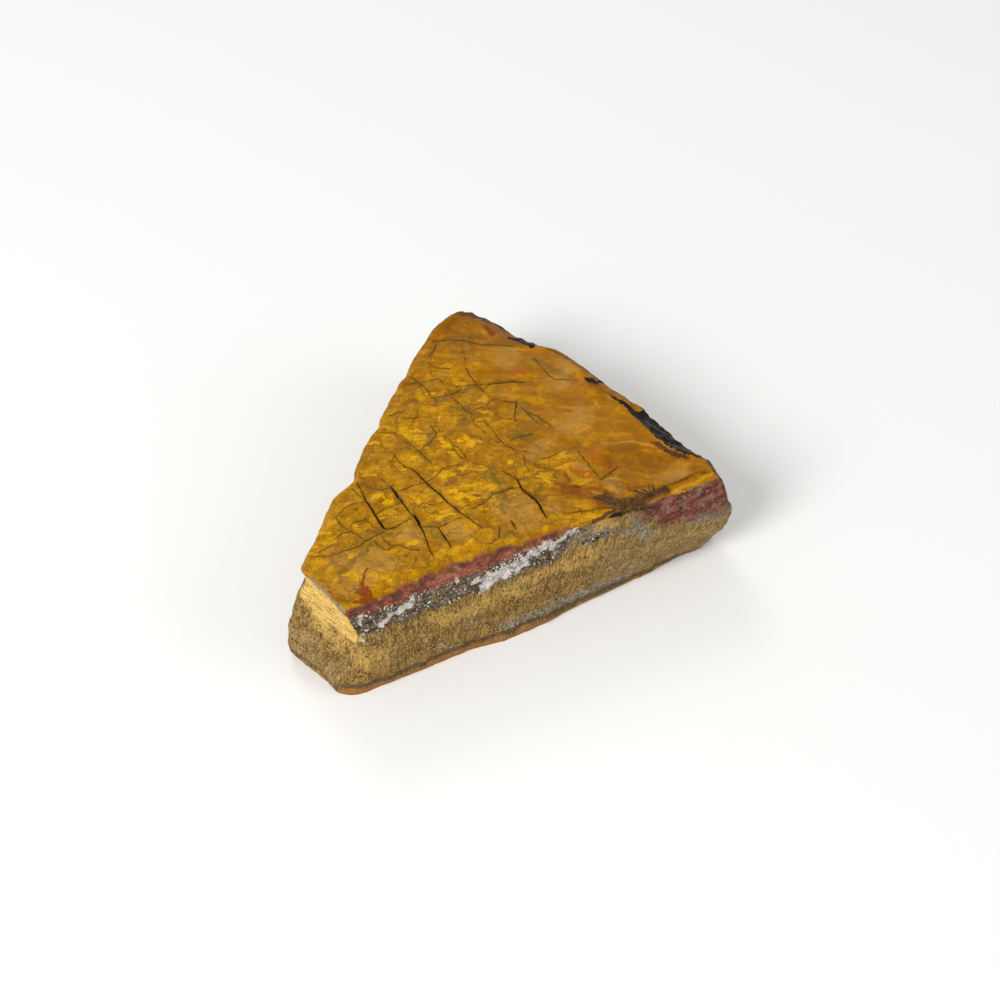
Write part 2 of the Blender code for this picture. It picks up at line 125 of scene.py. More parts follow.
# edge of the top face, anticlockwise: x, y, width of its sloping border and how far that drops
rimTable = [
    (-37.8, -32.0, 1.2, 0.7), (-34.0, -32.6, 1.8, 1.0), (-24.0, -32.4, 3.6, 1.3),       # front face
    (-14.0, -32.6, 5.0, 1.4), (-6.0, -32.2, 3.4, 1.2), (2.0, -32.4, 2.3, 1.0),
    (10.0, -31.9, 2.4, 0.9), (18.0, -32.3, 1.8, 0.8), (26.0, -32.6, 1.0, 0.7),
    (34.0, -32.8, 0.8, 0.5), (39.6, -32.8, 0.8, 0.5), (41.8, -32.2, 0.6, 0.4),          # right-hand corner
    (42.2, -28.4, 1.0, 0.9), (42.3, -24.8, 2.7, 2.2), (41.2, -20.8, 3.6, 2.6),          # black border
    (40.4, -16.0, 4.1, 2.7), (39.6, -11.6, 4.3, 2.6), (38.9, -7.1, 4.6, 2.1),
    (37.0, -3.4, 3.8, 1.6), (35.4, 1.2, 2.6, 1.1), (34.2, 3.8, 0.7, 0.4),
    (33.4, 7.4, 0.5, 0.3), (32.4, 10.9, 0.5, 0.3), (31.2, 14.4, 0.5, 0.3),
    (29.2, 16.6, 0.6, 0.4), (28.4, 19.2, 1.8, 1.2), (27.7, 21.9, 3.6, 2.0),
    (26.3, 24.2, 3.6, 2.1), (25.4, 28.1, 3.8, 2.0), (23.8, 30.9, 3.5, 1.8),
    (21.8, 33.6, 2.6, 1.3), (19.3, 34.8, 1.3, 0.6), (16.6, 34.2, 0.5, 0.3),             # apex
    (11.6, 31.9, 0.5, 0.3), (8.0, 28.7, 0.5, 0.3), (4.0, 25.4, 0.5, 0.3),               # long back edge
    (1.2, 22.6, 0.6, 0.4), (0.2, 21.2, 0.6, 0.4), (-2.0, 19.9, 0.5, 0.3),
    (-3.2, 18.2, 0.5, 0.3), (-5.4, 16.6, 0.5, 0.3), (-8.0, 13.8, 0.5, 0.3),
    (-10.1, 11.8, 0.6, 0.4), (-11.0, 10.0, 0.6, 0.4), (-12.4, 9.2, 0.5, 0.3),
    (-16.2, 6.0, 0.5, 0.3), (-20.0, 1.5, 0.5, 0.3), (-21.0, 0.2, 0.6, 0.4),
    (-21.6, -1.4, 0.6, 0.4), (-24.4, -2.9, 0.5, 0.3), (-27.2, -4.0, 0.5, 0.3),
    (-30.4, -7.4, 0.5, 0.3), (-32.4, -9.9, 0.5, 0.3), (-35.0, -12.8, 0.5, 0.3),
    (-38.2, -15.9, 0.5, 0.3), (-40.2, -17.9, 0.5, 0.3), (-40.4, -19.4, 0.5, 0.3),       # back-left corner
    (-39.3, -22.4, 0.5, 0.3), (-38.4, -26.2, 0.5, 0.3), (-38.0, -29.4, 0.6, 0.4),       # thin lip of the end
]

# how far the wall stands out from the top edge at each depth, as a share of the height there
depths = (0.0, 0.10, 0.27, 0.50, 0.80, 0.95, 1.0)
wallTable = [   # index in rimTable, direction outwards, and the distance at each depth
    (0, (-1.0, 0.1), (0.0, -0.9, -2.0, -2.4, 0.2, 1.8, 1.9)),
    (1, (0.0, -1.0), (0.0, 0.0, -0.1, 0.5, 0.9, 1.2, 0.9)),
    (2, (0.0, -1.0), (0.0, 0.0, 0.0, 0.7, 0.9, 1.2, 1.0)),
    (3, (0.0, -1.0), (0.0, 0.0, -0.1, 0.5, 0.5, 0.7, 0.5)),
    (4, (0.0, -1.0), (0.0, -0.1, -0.1, 0.6, 0.8, 1.9, 1.9)),
    (5, (0.0, -1.0), (0.0, -0.2, -0.1, 0.6, 0.9, 1.6, 1.4)),
    (6, (0.0, -1.0), (0.0, -0.3, 0.4, 0.9, 0.8, 0.9, 0.7)),
    (7, (0.0, -1.0), (0.0, 0.0, 0.3, 0.6, 0.3, 0.1, -0.3)),
    (8, (0.0, -1.0), (0.0, 0.1, 0.4, 0.6, 0.0, -0.7, -1.0)),
    (9, (0.1, -1.0), (0.0, 0.2, 0.6, 0.7, -0.6, -1.8, -2.4)),
    (11, (0.8, -0.6), (0.0, 1.0, 2.2, 2.9, -0.2, -2.5, -3.4)),
    (12, (1.0, 0.0), (0.0, 0.6, 1.4, 2.2, 1.9, 1.0, 0.2)),
    (14, (1.0, 0.1), (0.0, 0.3, 0.9, 1.6, 1.4, 0.6, -0.2)),
    (16, (1.0, 0.2), (0.0, 0.2, 0.8, 1.6, 1.2, 0.3, -0.6)),
    (19, (0.95, 0.3), (0.0, 0.3, 1.0, 1.8, 1.2, 0.2, -0.8)),
    (23, (0.9, 0.4), (0.0, 0.2, 0.8, 1.3, 0.8, -0.2, -1.0)),
    (27, (0.95, 0.3), (0.0, 0.2, 0.7, 1.0, 0.4, -0.4, -1.2)),
    (31, (0.3, 0.95), (0.0, -0.1, -0.1, -0.1, -0.7, -1.5, -2.2)),
    (37, (-0.7, 0.7), (0.0, 0.1, 0.4, 0.9, 0.5, -0.3, -1.2)),
    (46, (-0.7, 0.7), (0.0, 0.0, 0.5, 1.2, 0.9, 0.1, -0.8)),
    (53, (-0.7, 0.7), (0.0, -0.1, 0.5, 1.4, 1.6, 1.0, 0.2)),
    (56, (-1.0, 0.2), (0.0, -0.8, 0.5, 2.2, 3.9, 4.0, 3.3)),
    (58, (-1.0, 0.0), (0.0, -0.4, 0.3, 0.9, 2.6, 3.2, 2.8)),
]

# flake scars: centre x and y, half width, half depth, turn in degrees, depth of the hollow
scarTable = [
    (29.0, -23.6, 10.5, 6.4, -20.0, 0.9), (25.5, -11.0, 8.0, 4.4, 8.0, 0.45),
    (14.6, -17.0, 5.4, 8.0, 5.0, 0.5),
    (27.4, 6.0, 5.6, 7.2, 20.0, 0.4), (8.8, -23.0, 2.6, 5.0, 0.0, 0.35), (-27.8, -20.4, 3.6, 2.4, 0.0, 0.3),
    (-6.4, 6.0, 4.4, 5.0, 0.0, 0.35), (2.6, -22.6, 4.4, 4.8, 0.0, 0.3), (-9.8, -17.0, 5.4, 2.6, 12.0, 0.25),
]

# open cracks: depth, and the points along each as x, y and width
openCracks = [
    (2.6, [(-22.0, -5.6, 0.1), (-22.1, -9.0, 0.42), (-22.0, -12.5, 0.42), (-22.1, -15.7, 0.5),
           (-20.3, -16.7, 0.35), (-17.4, -16.3, 0.1)]),
    (2.2, [(-16.4, -6.2, 0.1), (-16.3, -8.6, 0.6), (-16.0, -11.2, 0.3), (-15.95, -14.6, 0.2),
           (-15.9, -15.3, 0.1)]),
    (3.0, [(-15.55, -15.3, 0.7), (-15.6, -16.6, 0.75), (-15.85, -18.5, 0.35), (-16.1, -20.5, 0.2),
           (-16.8, -24.6, 0.1)]),
    (2.6, [(-11.8, -1.0, 0.1), (-10.3, -4.0, 0.3), (-9.7, -9.0, 0.36), (-8.6, -14.0, 0.34),
           (-7.4, -19.5, 0.3), (-5.7, -24.2, 0.1)]),
    (2.4, [(-13.0, -20.3, 0.15), (-13.0, -23.6, 0.36), (-13.2, -26.2, 0.15)]),
    (3.2, [(4.9, -12.4, 0.1), (6.3, -15.9, 0.2), (6.0, -18.2, 0.4), (6.7, -20.4, 0.8), (6.85, -23.0, 0.6),
           (6.6, -25.6, 0.35), (6.4, -27.6, 0.1)]),
    (2.0, [(-0.05, -24.8, 0.1), (0.1, -25.9, 0.4), (-0.05, -27.0, 0.1)]),
    (1.6, [(12.8, 11.9, 0.1), (15.6, 10.7, 0.35), (18.4, 9.3, 0.45), (20.6, 8.3, 0.1)]),
]

# closed joints, too fine to open: width of the dark line, and the points along each
closedJoints = [
    (0.12, [(-24.0, -12.6), (-23.4, -15.0), (-22.4, -15.9)]),
    (0.15, [(-36.2, -16.8), (-34.5, -17.8), (-32.0, -17.9), (-29.8, -17.9), (-27.0, -17.3), (-24.8, -17.0),
            (-22.6, -16.5)]),
    (0.11, [(-37.0, -16.3), (-36.0, -15.9), (-34.0, -15.8), (-32.2, -15.4)]),
    (0.12, [(-31.6, -14.0), (-29.6, -13.8), (-28.4, -13.8)]),
    (0.16, [(-29.4, -9.8), (-28.9, -12.0), (-28.0, -13.6), (-27.3, -15.2), (-26.8, -16.0)]),
    (0.14, [(-30.0, -9.8), (-29.0, -9.3), (-27.0, -8.1), (-25.5, -7.8), (-24.0, -7.8), (-22.3, -7.8)]),
    (0.11, [(-27.7, -13.0), (-26.8, -12.2), (-24.0, -11.8)]),
    (0.12, [(-21.7, -11.7), (-20.4, -11.5), (-18.8, -11.1), (-16.3, -10.9)]),
    (0.17, [(-21.5, -2.6), (-21.6, -4.4), (-21.6, -6.0), (-21.9, -7.0)]),
    (0.13, [(-23.0, -3.6), (-22.8, -5.4), (-22.2, -7.0)]),
    (0.17, [(-21.2, -6.0), (-19.0, -6.2), (-17.4, -6.7), (-16.5, -7.2)]),
    (0.12, [(-16.9, -3.4), (-16.6, -4.6), (-16.4, -6.1)]),
    (0.11, [(-15.0, -13.7), (-13.0, -13.5), (-12.0, -13.8), (-11.3, -14.5), (-9.2, -14.8)]),
    (0.24, [(-15.7, -18.7), (-14.5, -19.3), (-12.95, -20.4)]),
    (0.14, [(-12.95, -20.4), (-12.0, -20.2), (-10.0, -20.1), (-8.0, -20.4)]),
    (0.16, [(-25.0, -18.2), (-24.8, -20.0), (-24.2, -21.1), (-23.4, -21.5), (-22.4, -21.0), (-21.7, -21.4),
            (-20.4, -22.9), (-18.8, -24.1)]),
    (0.11, [(-23.4, -18.0), (-23.2, -20.6)]),
    (0.16, [(-5.2, -18.6), (-3.6, -18.8), (-2.0, -18.6), (-0.4, -17.9), (1.0, -17.3), (3.0, -17.2),
            (4.4, -16.9), (5.4, -17.4), (5.9, -18.0)]),
    (0.11, [(-14.8, -8.4), (-12.5, -8.1), (-11.3, -8.2), (-9.9, -8.6)]),
    (0.11, [(-9.4, -8.6), (-8.0, -8.3), (-6.2, -7.3), (-4.5, -6.8), (-2.0, -7.0)]),
    (0.13, [(-8.4, 3.5), (-7.7, 2.0), (-7.0, 0.0), (-6.7, -2.0), (-6.6, -4.4)]),
    (0.10, [(-0.9, -2.6), (-0.4, -5.0), (-0.2, -7.4)]),
    (0.13, [(-16.8, -24.6), (-17.1, -27.2)]),
    (0.12, [(13.0, -14.6), (13.4, -16.0), (13.7, -18.4)]),
    (0.15, [(20.6, -14.0), (20.7, -18.0), (20.5, -22.6)]),
    (0.30, [(20.5, -23.2), (22.0, -22.7), (23.4, -22.1), (25.3, -21.2)]),
    (0.24, [(10.0, -27.8), (11.2, -28.5), (12.4, -29.0), (13.6, -29.5), (15.4, -29.9), (17.2, -30.2),
            (18.6, -30.8)]),
    (0.16, [(24.3, -29.0), (25.6, -30.6), (26.7, -31.2), (27.4, -30.0), (28.0, -28.6)]),
    (0.22, [(29.6, -30.6), (34.0, -30.5), (37.4, -30.4), (40.0, -31.0)]),
    (0.17, [(-3.9, -27.7), (-3.0, -26.3), (-2.6, -25.4)]),
    (0.15, [(-6.0, -28.6), (-4.8, -28.0)]),
    (0.15, [(7.0, 24.3), (8.8, 25.4), (9.9, 27.0)]),
    (0.24, [(10.0, 28.3), (13.0, 27.0), (16.2, 25.0), (19.0, 22.4), (21.4, 20.9), (24.0, 19.6)]),
    (0.15, [(12.0, 17.5), (11.8, 14.0), (12.1, 10.0), (12.7, 7.0), (14.2, 5.4), (15.6, 4.6), (16.4, 4.0)]),
    (0.17, [(16.4, 4.0), (15.4, 2.4)]),
    (0.11, [(8.1, 1.8), (8.4, -2.0), (8.4, -4.6), (9.0, -6.6), (9.5, -8.0)]),
    (0.11, [(6.0, 12.0), (7.8, 12.6)]),
    (0.15, [(-8.2, 11.9), (-5.8, 11.8)]),
    (0.11, [(1.0, 14.5), (1.5, 17.6), (1.3, 20.0)]),
    (0.10, [(10.4, -10.6), (9.8, -12.6), (9.4, -14.6)]),
    (0.11, [(13.4, -12.4), (16.0, -12.6), (18.4, -12.4), (20.6, -12.6)]),
    (0.11, [(-12.1, 1.8), (-12.0, 0.0), (-11.8, -0.9)]),
    (0.12, [(17.4, 0.0), (18.4, -2.0), (19.2, -4.6), (19.6, -6.0)]),
    (0.10, [(-1.4, 18.9), (1.6, 18.4), (5.0, 16.7), (8.3, 13.9), (12.4, 12.2)]),
    (0.13, [(1.9, 17.6), (1.8, 14.6), (2.3, 11.3), (1.2, 9.9)]),
    (0.14, [(2.7, 12.1), (5.5, 11.6), (7.5, 12.3), (8.6, 13.1)]),
    (0.11, [(5.4, 10.7), (6.0, 7.8), (6.1, 5.4), (6.8, 4.0)]),
    (0.12, [(7.4, 5.0), (10.4, 5.5), (12.0, 6.5)]),
    (0.10, [(-6.0, 9.6), (-3.7, 8.8), (-0.7, 7.9)]),
    (0.11, [(-1.9, 5.4), (-1.8, 2.9), (-4.0, 1.1), (-6.0, 0.6)]),
    (0.12, [(16.5, 3.9), (14.5, 1.0), (13.9, -0.7)]),
    (0.12, [(16.7, 1.9), (17.1, -1.4), (17.5, -3.2)]),
    (0.10, [(8.8, -6.6), (11.6, -5.0), (15.0, -5.8)]),
    (0.11, [(-1.0, 0.6), (0.4, -3.0), (0.3, -7.2)]),
    (0.11, [(25.9, 13.8), (25.9, 9.9), (26.4, 7.1), (29.9, 4.2)]),
    (0.10, [(4.9, 23.2), (6.6, 21.0), (8.8, 19.5)]),
    (0.10, [(13.9, 22.6), (12.5, 18.6)]),
]
jointDepth = 0.16           # of a closed joint's furrow
lipWidth, lipDepth = 0.16, 0.06     # the worn edge beside a crack
haloReach = 0.45            # how far the rock is stained beside a crack
crackMargin = 1.4           # beyond this a crack leaves no mark
crackStep = 0.34            # between two points along a crack
crackWander, jointWander = 0.10, 0.22
fullWidth = 0.3             # a crack narrower than this is shallower, and stains the rock less
shadeDepth = 0.5             # a crack is dark from this depth down, with painted shade over its dark film
netClearance = 0.24         # the mesh keeps this far from a crack's own points

# coloured areas of the top face: strokes from one point to another, with half their width
topAreas = {
    "rust": [(13.2, -21.6, 15.8, -24.6, 1.7), (15.9, -17.4, 15.0, -21.0, 0.4),
             (16.4, -26.0, 17.4, -29.6, 1.2), (24.0, -20.6, 24.8, -19.6, 0.4),
             (11.6, -21.4, 13.0, -23.4, 0.9), (36.6, -23.2, 38.2, -25.8, 0.6), (31.8, 0.6, 32.6, 2.2, 1.0),
             (17.6, -24.8, 20.6, -28.0, 0.5), (24.0, -28.4, 26.4, -29.0, 0.6)],
    "orange": [(22.8, -16.0, 24.2, -20.4, 1.7), (17.6, -18.6, 18.8, -21.4, 0.9),
               (19.6, 12.0, 22.6, 11.4, 1.2)],
    "redDrop": [(-33.0, -28.2, -32.4, -29.8, 0.8), (-31.8, -28.0, -31.6, -29.8, 0.5),
                (-32.4, -27.8, -30.6, -25.2, 0.3), (-30.6, -25.2, -29.4, -24.2, 0.16),
                (-35.0, -30.6, -31.0, -31.0, 0.5), (21.6, 27.4, 21.8, 24.7, 0.6),
                (15.0, -22.3, 15.9, -22.9, 0.4), (34.6, -18.6, 38.2, -26.2, 0.4)],
    "purple": [(18.8, -28.0, 20.6, -31.6, 1.3), (20.6, -30.6, 24.4, -31.8, 1.3),
               (24.0, -31.8, 30.4, -31.2, 0.8), (28.6, -29.0, 28.0, -31.0, 0.3),
               (24.8, -29.4, 25.8, -31.0, 0.3), (26.2, -29.8, 26.6, -31.0, 0.3),
               (14.2, -32.0, 19.0, -31.6, 0.4), (17.0, -27.4, 19.0, -29.0, 0.5),
               (35.4, -19.0, 37.8, -25.4, 0.5)],
    "tan": [(1.6, -21.0, 2.8, -24.4, 3.4), (-29.0, -20.4, -26.4, -20.6, 2.0),
            (-33.4, -19.6, -31.0, -21.8, 2.2), (8.8, -25.2, 8.9, -26.2, 1.2), (27.0, 5.6, 30.2, 9.0, 2.4),
            (21.4, -25.0, 21.8, -27.2, 1.5), (-19.4, -19.0, -18.2, -21.4, 1.8),
            (-10.6, -21.8, -10.0, -24.6, 1.8), (22.0, -7.0, 25.6, -6.4, 2.4),
            (18.6, -17.2, 19.6, -20.0, 0.8), (20.0, 16.6, 22.0, 18.8, 2.0), (32.6, -28.6, 36.0, -28.6, 1.6),
            (-34.6, -25.6, -26.0, -24.6, 2.6), (12.0, -11.0, 15.6, -9.6, 1.4)],
    "smudge": [(-14.6, -20.4, -14.2, -24.0, 1.1), (-27.4, -16.6, -23.8, -16.3, 0.9),
               (-12.6, -18.7, -10.4, -19.2, 0.5), (-34.6, -22.9, -33.0, -22.8, 0.45),
               (1.4, -12.4, 3.2, -15.0, 1.0), (2.8, -10.8, 3.4, -11.0, 0.8), (11.8, -4.8, 14.0, -5.6, 1.2),
               (4.4, 2.8, 4.6, 2.2, 0.9), (-8.3, 3.4, -7.9, 2.8, 0.5), (-6.9, -0.4, -6.7, -3.0, 0.6),
               (8.4, -19.6, 8.2, -22.4, 1.0), (-16.5, -6.6, -16.2, -10.6, 0.5),
               (0.0, -20.6, 0.2, -22.8, 0.6), (22.0, -25.4, 22.6, -27.6, 0.6),
               (-2.6, -18.4, 3.6, -16.9, 0.45), (11.0, 27.6, 16.4, 24.6, 0.7),
               (19.4, 22.0, 23.0, 20.2, 0.6), (7.8, 11.4, 12.0, 12.8, 0.5), (14.4, 3.6, 16.6, 3.2, 0.9),
               (5.0, 8.0, 7.4, 4.2, 1.0), (25.9, 13.8, 29.4, 4.8, 0.7), (-33.0, -22.4, -24.0, -17.2, 0.5),
               (17.0, 0.4, 18.4, -3.4, 0.5), (2.4, 12.0, 3.6, 10.4, 0.8), (-3.0, -28.0, -0.6, -28.6, 0.8),
               (-2.0, 5.0, -4.6, 1.0, 0.6)],
    # painted glints: bright yellow flakes of silky reflection, painted into the colour
    "paintedGlint": [(-33.6, -13.0, -32.6, -13.6, 1.1), (-34.6, -24.8, -32.4, -25.4, 0.9),
              (-28.6, -26.8, -27.4, -28.0, 1.1), (-30.6, -20.2, -30.0, -20.4, 0.6),
              (-26.8, -12.8, -26.2, -13.4, 0.7), (-13.8, -5.0, -13.2, -5.4, 0.7),
              (-7.6, -5.4, -7.0, -6.8, 0.45), (-6.9, 7.0, -5.4, 4.0, 1.0), (-5.2, -14.2, -3.8, -15.6, 1.2),
              (-2.4, -15.4, 0.6, -15.8, 1.3), (-12.4, -16.4, -9.6, -18.8, 1.1),
              (7.0, -11.2, 7.4, -11.6, 0.5), (-8.4, -26.2, -9.6, -27.0, 0.5), (-2.0, 1.2, -1.6, -4.0, 0.4),
              (0.9, 7.2, 0.4, 5.4, 0.5), (9.2, 4.4, 10.4, 3.6, 0.7), (8.6, -24.0, 9.2, -23.4, 0.35),
              (-14.6, -9.6, -12.4, -14.4, 0.25), (-6.8, -8.8, -4.2, -9.4, 1.0), (2.2, -1.2, 3.4, -3.4, 0.8),
              (-1.4, -9.0, 0.6, -11.0, 1.2), (-19.6, -12.6, -17.6, -14.6, 1.0),
              (-19.6, -8.0, -18.4, -9.4, 0.7), (8.6, 9.0, 10.6, 7.6, 1.0), (20.4, 10.4, 22.0, 9.0, 0.8),
              (11.2, -16.0, 12.6, -18.6, 0.9), (8.6, 15.6, 9.4, 14.4, 0.7), (17.6, -13.6, 18.6, -15.4, 0.7),
              (38.8, -29.8, 40.8, -30.8, 0.35)],
    # darker gold: painted shade below the ridges, and darker patches of the stone itself
    "shade": [(25.0, -19.0, 35.0, -23.6, 1.8), (32.4, -3.6, 33.4, 1.6, 0.8), (19.9, 2.8, 20.2, 2.3, 0.3),
              (14.0, 31.4, 20.0, 31.0, 2.0), (12.0, 28.4, 20.0, 24.0, 0.6), (32.6, -30.3, 39.6, -30.3, 0.4),
              (15.2, 11.2, 20.4, 8.6, 0.5), (37.6, -28.8, 38.8, -29.6, 0.9), (19.6, 31.8, 24.8, 25.0, 1.9),
              (-20.6, -3.4, -18.4, -5.4, 1.0), (26.0, -16.4, 31.0, -18.0, 1.0),
              (22.0, 22.4, 25.6, 19.6, 1.0)],
    # painted highlights: thin light lines along ridges of the face
    "paintedRidgeLight": [(26.0, -14.0, 30.6, -16.4, 0.2), (30.6, -16.4, 34.0, -19.0, 0.25),
              (34.0, -19.0, 36.8, -21.7, 0.2), (16.0, -24.0, 16.6, -27.4, 0.25),
              (12.0, -27.6, 14.0, -28.6, 0.2), (30.0, -2.6, 30.6, -5.4, 0.15),
              (13.0, -12.4, 19.6, -12.4, 0.15), (22.6, -9.4, 26.0, -9.0, 0.18),
              (31.2, -32.0, 40.6, -31.4, 0.35), (10.0, -31.0, 16.0, -31.2, 0.2),
              (35.6, -10.4, 36.6, -8.4, 0.25)],
    "sliver": [(34.6, 0.2, 38.2, -7.4, 1.0), (25.6, 25.0, 20.4, 32.6, 1.7)],
    "black": [(36.0, -8.6, 37.0, -16.0, 0.9), (37.0, -16.0, 39.2, -24.4, 1.1),
              (39.2, -24.4, 40.8, -27.0, 0.4), (27.2, 17.6, 25.4, 21.4, 0.5), (32.5, 2.6, 33.8, 0.2, 0.9),
              (33.8, 0.4, 34.8, -3.6, 0.22), (34.8, -3.6, 36.0, -8.6, 0.35)],
    # dark rind along the edge of the face: the stone's dark skin at the apex, and painted shade along the
    # other edges
    "rindAndEdgeShade": [(18.0, 34.4, 22.0, 32.6, 0.9), (22.0, 32.6, 25.6, 26.6, 0.8), (25.6, 26.6, 27.6, 21.6, 0.7),
             (38.4, -6.0, 39.8, -11.0, 0.3), (41.6, -28.0, 41.2, -31.6, 0.5), (29.0, 16.8, 33.4, 6.0, 0.22),
             (33.4, 6.0, 35.0, 1.6, 0.3), (-37.6, -31.6, -38.0, -26.4, 0.2),
             (-38.0, -26.4, -40.0, -19.8, 0.2)],
}

# coloured areas of the wall: distance along the top edge and height, at both ends, and half the width
wallAreas = {
    "rusty": [(0.0, 20.7, 36.0, 21.0, 0.9), (36.0, 21.3, 52.0, 21.5, 0.5), (156.0, 20.6, 196.0, 20.2, 0.7),
              (196.0, 20.2, 232.0, 20.6, 0.8)],
    "jasper": [(64.6, 19.6, 80.0, 18.6, 2.9), (67.6, 16.0, 82.0, 15.6, 2.1), (80.0, 17.4, 92.0, 16.4, 2.6),
               (92.0, 15.6, 104.0, 14.4, 1.0), (104.0, 18.2, 128.0, 18.8, 0.9),
               (138.0, 17.6, 156.0, 18.6, 0.9)],
    "rock": [(2.6, 17.6, 22.0, 17.3, 3.2), (22.0, 17.4, 44.0, 18.2, 3.0), (44.0, 19.0, 50.0, 20.4, 0.9),
             (50.0, 16.6, 56.0, 16.8, 0.6), (92.0, 13.6, 112.0, 13.2, 1.3), (112.0, 14.2, 158.0, 16.4, 1.9),
             (158.0, 17.0, 190.0, 16.4, 2.2), (190.0, 16.6, 232.0, 18.0, 2.1)],
    "quartz": [(27.0, 17.6, 33.0, 15.8, 0.9), (29.4, 16.6, 36.6, 17.6, 1.7), (36.6, 18.4, 42.0, 20.4, 1.2),
               (43.4, 18.6, 47.0, 20.8, 0.9), (7.0, 15.8, 13.0, 18.8, 0.8), (2.9, 17.0, 3.1, 20.0, 0.5),
               (12.6, 19.0, 14.4, 20.4, 0.4), (22.8, 19.8, 22.5, 20.8, 0.4), (30.4, 15.2, 28.0, 14.2, 0.4),
               (3.0, 13.4, 3.4, 13.0, 0.3), (162.0, 16.6, 172.0, 17.4, 0.7),
               (190.0, 16.2, 206.0, 16.8, 0.9), (214.0, 15.8, 219.0, 17.6, 0.5),
               (120.0, 14.4, 132.0, 15.4, 0.7), (146.0, 16.0, 151.0, 16.4, 0.5)],
    # pale specks strewn along lines, and grey chalcedony that the fibres run out into
    "specks": [(6.6, 10.0, 7.0, 8.8, 0.9), (15.0, 8.0, 16.2, 5.6, 0.9), (24.0, 6.4, 25.8, 10.0, 0.7),
               (18.0, 5.4, 21.0, 3.2, 0.9), (60.0, 6.0, 62.0, 5.0, 0.8), (44.0, 4.6, 52.0, 3.4, 0.8),
               (55.6, 8.6, 56.2, 7.4, 0.8), (30.0, 3.6, 36.0, 3.0, 0.7), (100.0, 8.0, 106.0, 6.0, 1.4),
               (178.0, 9.0, 184.0, 6.0, 1.4), (222.0, 8.0, 226.0, 5.0, 1.4)],
    "grey": [(33.0, 15.2, 44.0, 17.0, 1.2), (44.0, 17.2, 51.0, 20.0, 1.3), (50.0, 17.0, 57.0, 17.6, 0.9),
             (61.0, 17.8, 63.4, 13.2, 1.2), (58.0, 15.4, 62.0, 16.0, 0.7), (74.0, 13.6, 84.0, 13.2, 1.2),
             (130.0, 12.6, 150.0, 13.8, 0.9), (178.0, 13.8, 204.0, 13.8, 0.9), (32.0, 3.8, 48.0, 3.4, 0.7),
             (48.0, 3.6, 60.0, 2.8, 0.9)],
    "purple": [(56.4, 21.6, 62.0, 20.8, 0.7), (61.0, 20.6, 65.0, 19.8, 0.6)],
    "endFace": [(235.6, 18.6, 248.2, 17.6, 2.9), (240.0, 15.8, 248.2, 14.2, 2.3),
                (0.0, 15.4, 1.4, 13.6, 1.3)],
    "bright": [(51.6, 19.6, 56.6, 18.6, 1.3), (47.0, 12.6, 53.0, 13.6, 1.2), (18.0, 12.0, 34.0, 11.2, 1.5),
               (0.0, 9.0, 6.0, 8.4, 2.2), (240.0, 12.0, 247.0, 10.0, 1.6), (36.0, 12.8, 46.0, 13.6, 0.8),
               (66.0, 9.2, 76.0, 10.4, 0.7)],
    "olive": [(56.0, 8.0, 80.0, 8.4, 4.6), (88.0, 6.0, 112.0, 6.4, 4.0), (174.0, 6.0, 196.0, 6.0, 3.6),
              (236.0, 4.6, 246.0, 3.4, 2.6), (60.0, 13.0, 68.0, 12.0, 1.8), (46.0, 16.4, 50.0, 17.4, 1.4)],
    "seam": [(0.0, 2.0, 36.0, 2.2, 0.45), (36.0, 2.2, 56.0, 1.7, 0.5), (56.0, 1.7, 80.0, 0.8, 0.3),
             (236.0, 1.4, 248.2, 1.7, 0.36), (224.0, 1.8, 236.0, 1.4, 0.2), (150.0, 1.8, 176.0, 2.4, 0.2),
             (176.0, 2.4, 200.0, 2.0, 0.3), (200.0, 2.0, 216.0, 2.6, 0.16)],
    "skin": [(0.0, 0.4, 24.0, 0.4, 1.0), (24.0, 0.4, 44.0, 0.3, 0.8), (44.0, 0.3, 64.0, 0.1, 0.5),
             (90.0, 0.2, 140.0, 0.2, 0.5), (160.0, 0.2, 230.0, 0.2, 0.6)],
    "black": [(83.0, 19.4, 114.0, 18.6, 1.9), (114.0, 19.2, 126.0, 20.4, 0.7),
              (130.0, 19.4, 148.0, 19.2, 1.6), (148.0, 20.0, 158.0, 20.8, 0.5),
              (50.2, 21.6, 57.6, 21.4, 0.5), (92.0, 16.6, 104.0, 16.0, 0.7)],
    "lip": [(226.0, 21.7, 237.6, 21.5, 0.6), (237.6, 21.3, 248.2, 21.2, 0.95)],
}
# how far the fibres lean, for each millimetre of height, at places along the top edge
fibreLean = ((0.0, 0.0), (30.0, 0.2), (50.0, 0.45), (80.0, 0.6), (120.0, 0.3), (160.0, -0.2), (200.0, -0.3),
             (248.0, 0.0))
# where the bands on the border of the top face start or fade out, along its edge
borderBands = {"rustyFades": (40.0, 54.0), "rustyLumps": (0.45, 15.0, 4.0), "blackStarts": 80.0,
               "blackDrop": (0.45, 1.0), "lipStarts": 231.5}


def rough(x, y, z, size, octaves=3):
    return noise.fractal(Vector((x, y, z)) / size, 0.9, 2.1, octaves)


def roughAt(points, layer, size, octaves=3, flatten=1.0):
    if points.shape[1] == 2:
        return np.array([rough(x, y, layer, size, octaves) for x, y in points])
    return np.array([rough(x, y, z * flatten + layer, size, octaves) for x, y, z in points])


def lumps(points, *rows):
    return sum(height * roughAt(points, layer, size) for height, layer, size in rows)


def smoothstep(low, high, value):
    share = np.clip((value - low) / (high - low), 0.0, 1.0)
    return share * share * (3.0 - 2.0 * share)


def pathLengths(points):
    sides = np.linalg.norm(np.roll(points, -1, axis=0) - points, axis=1)
    return np.concatenate([[0.0], np.cumsum(sides)])[:-1], sides.sum()


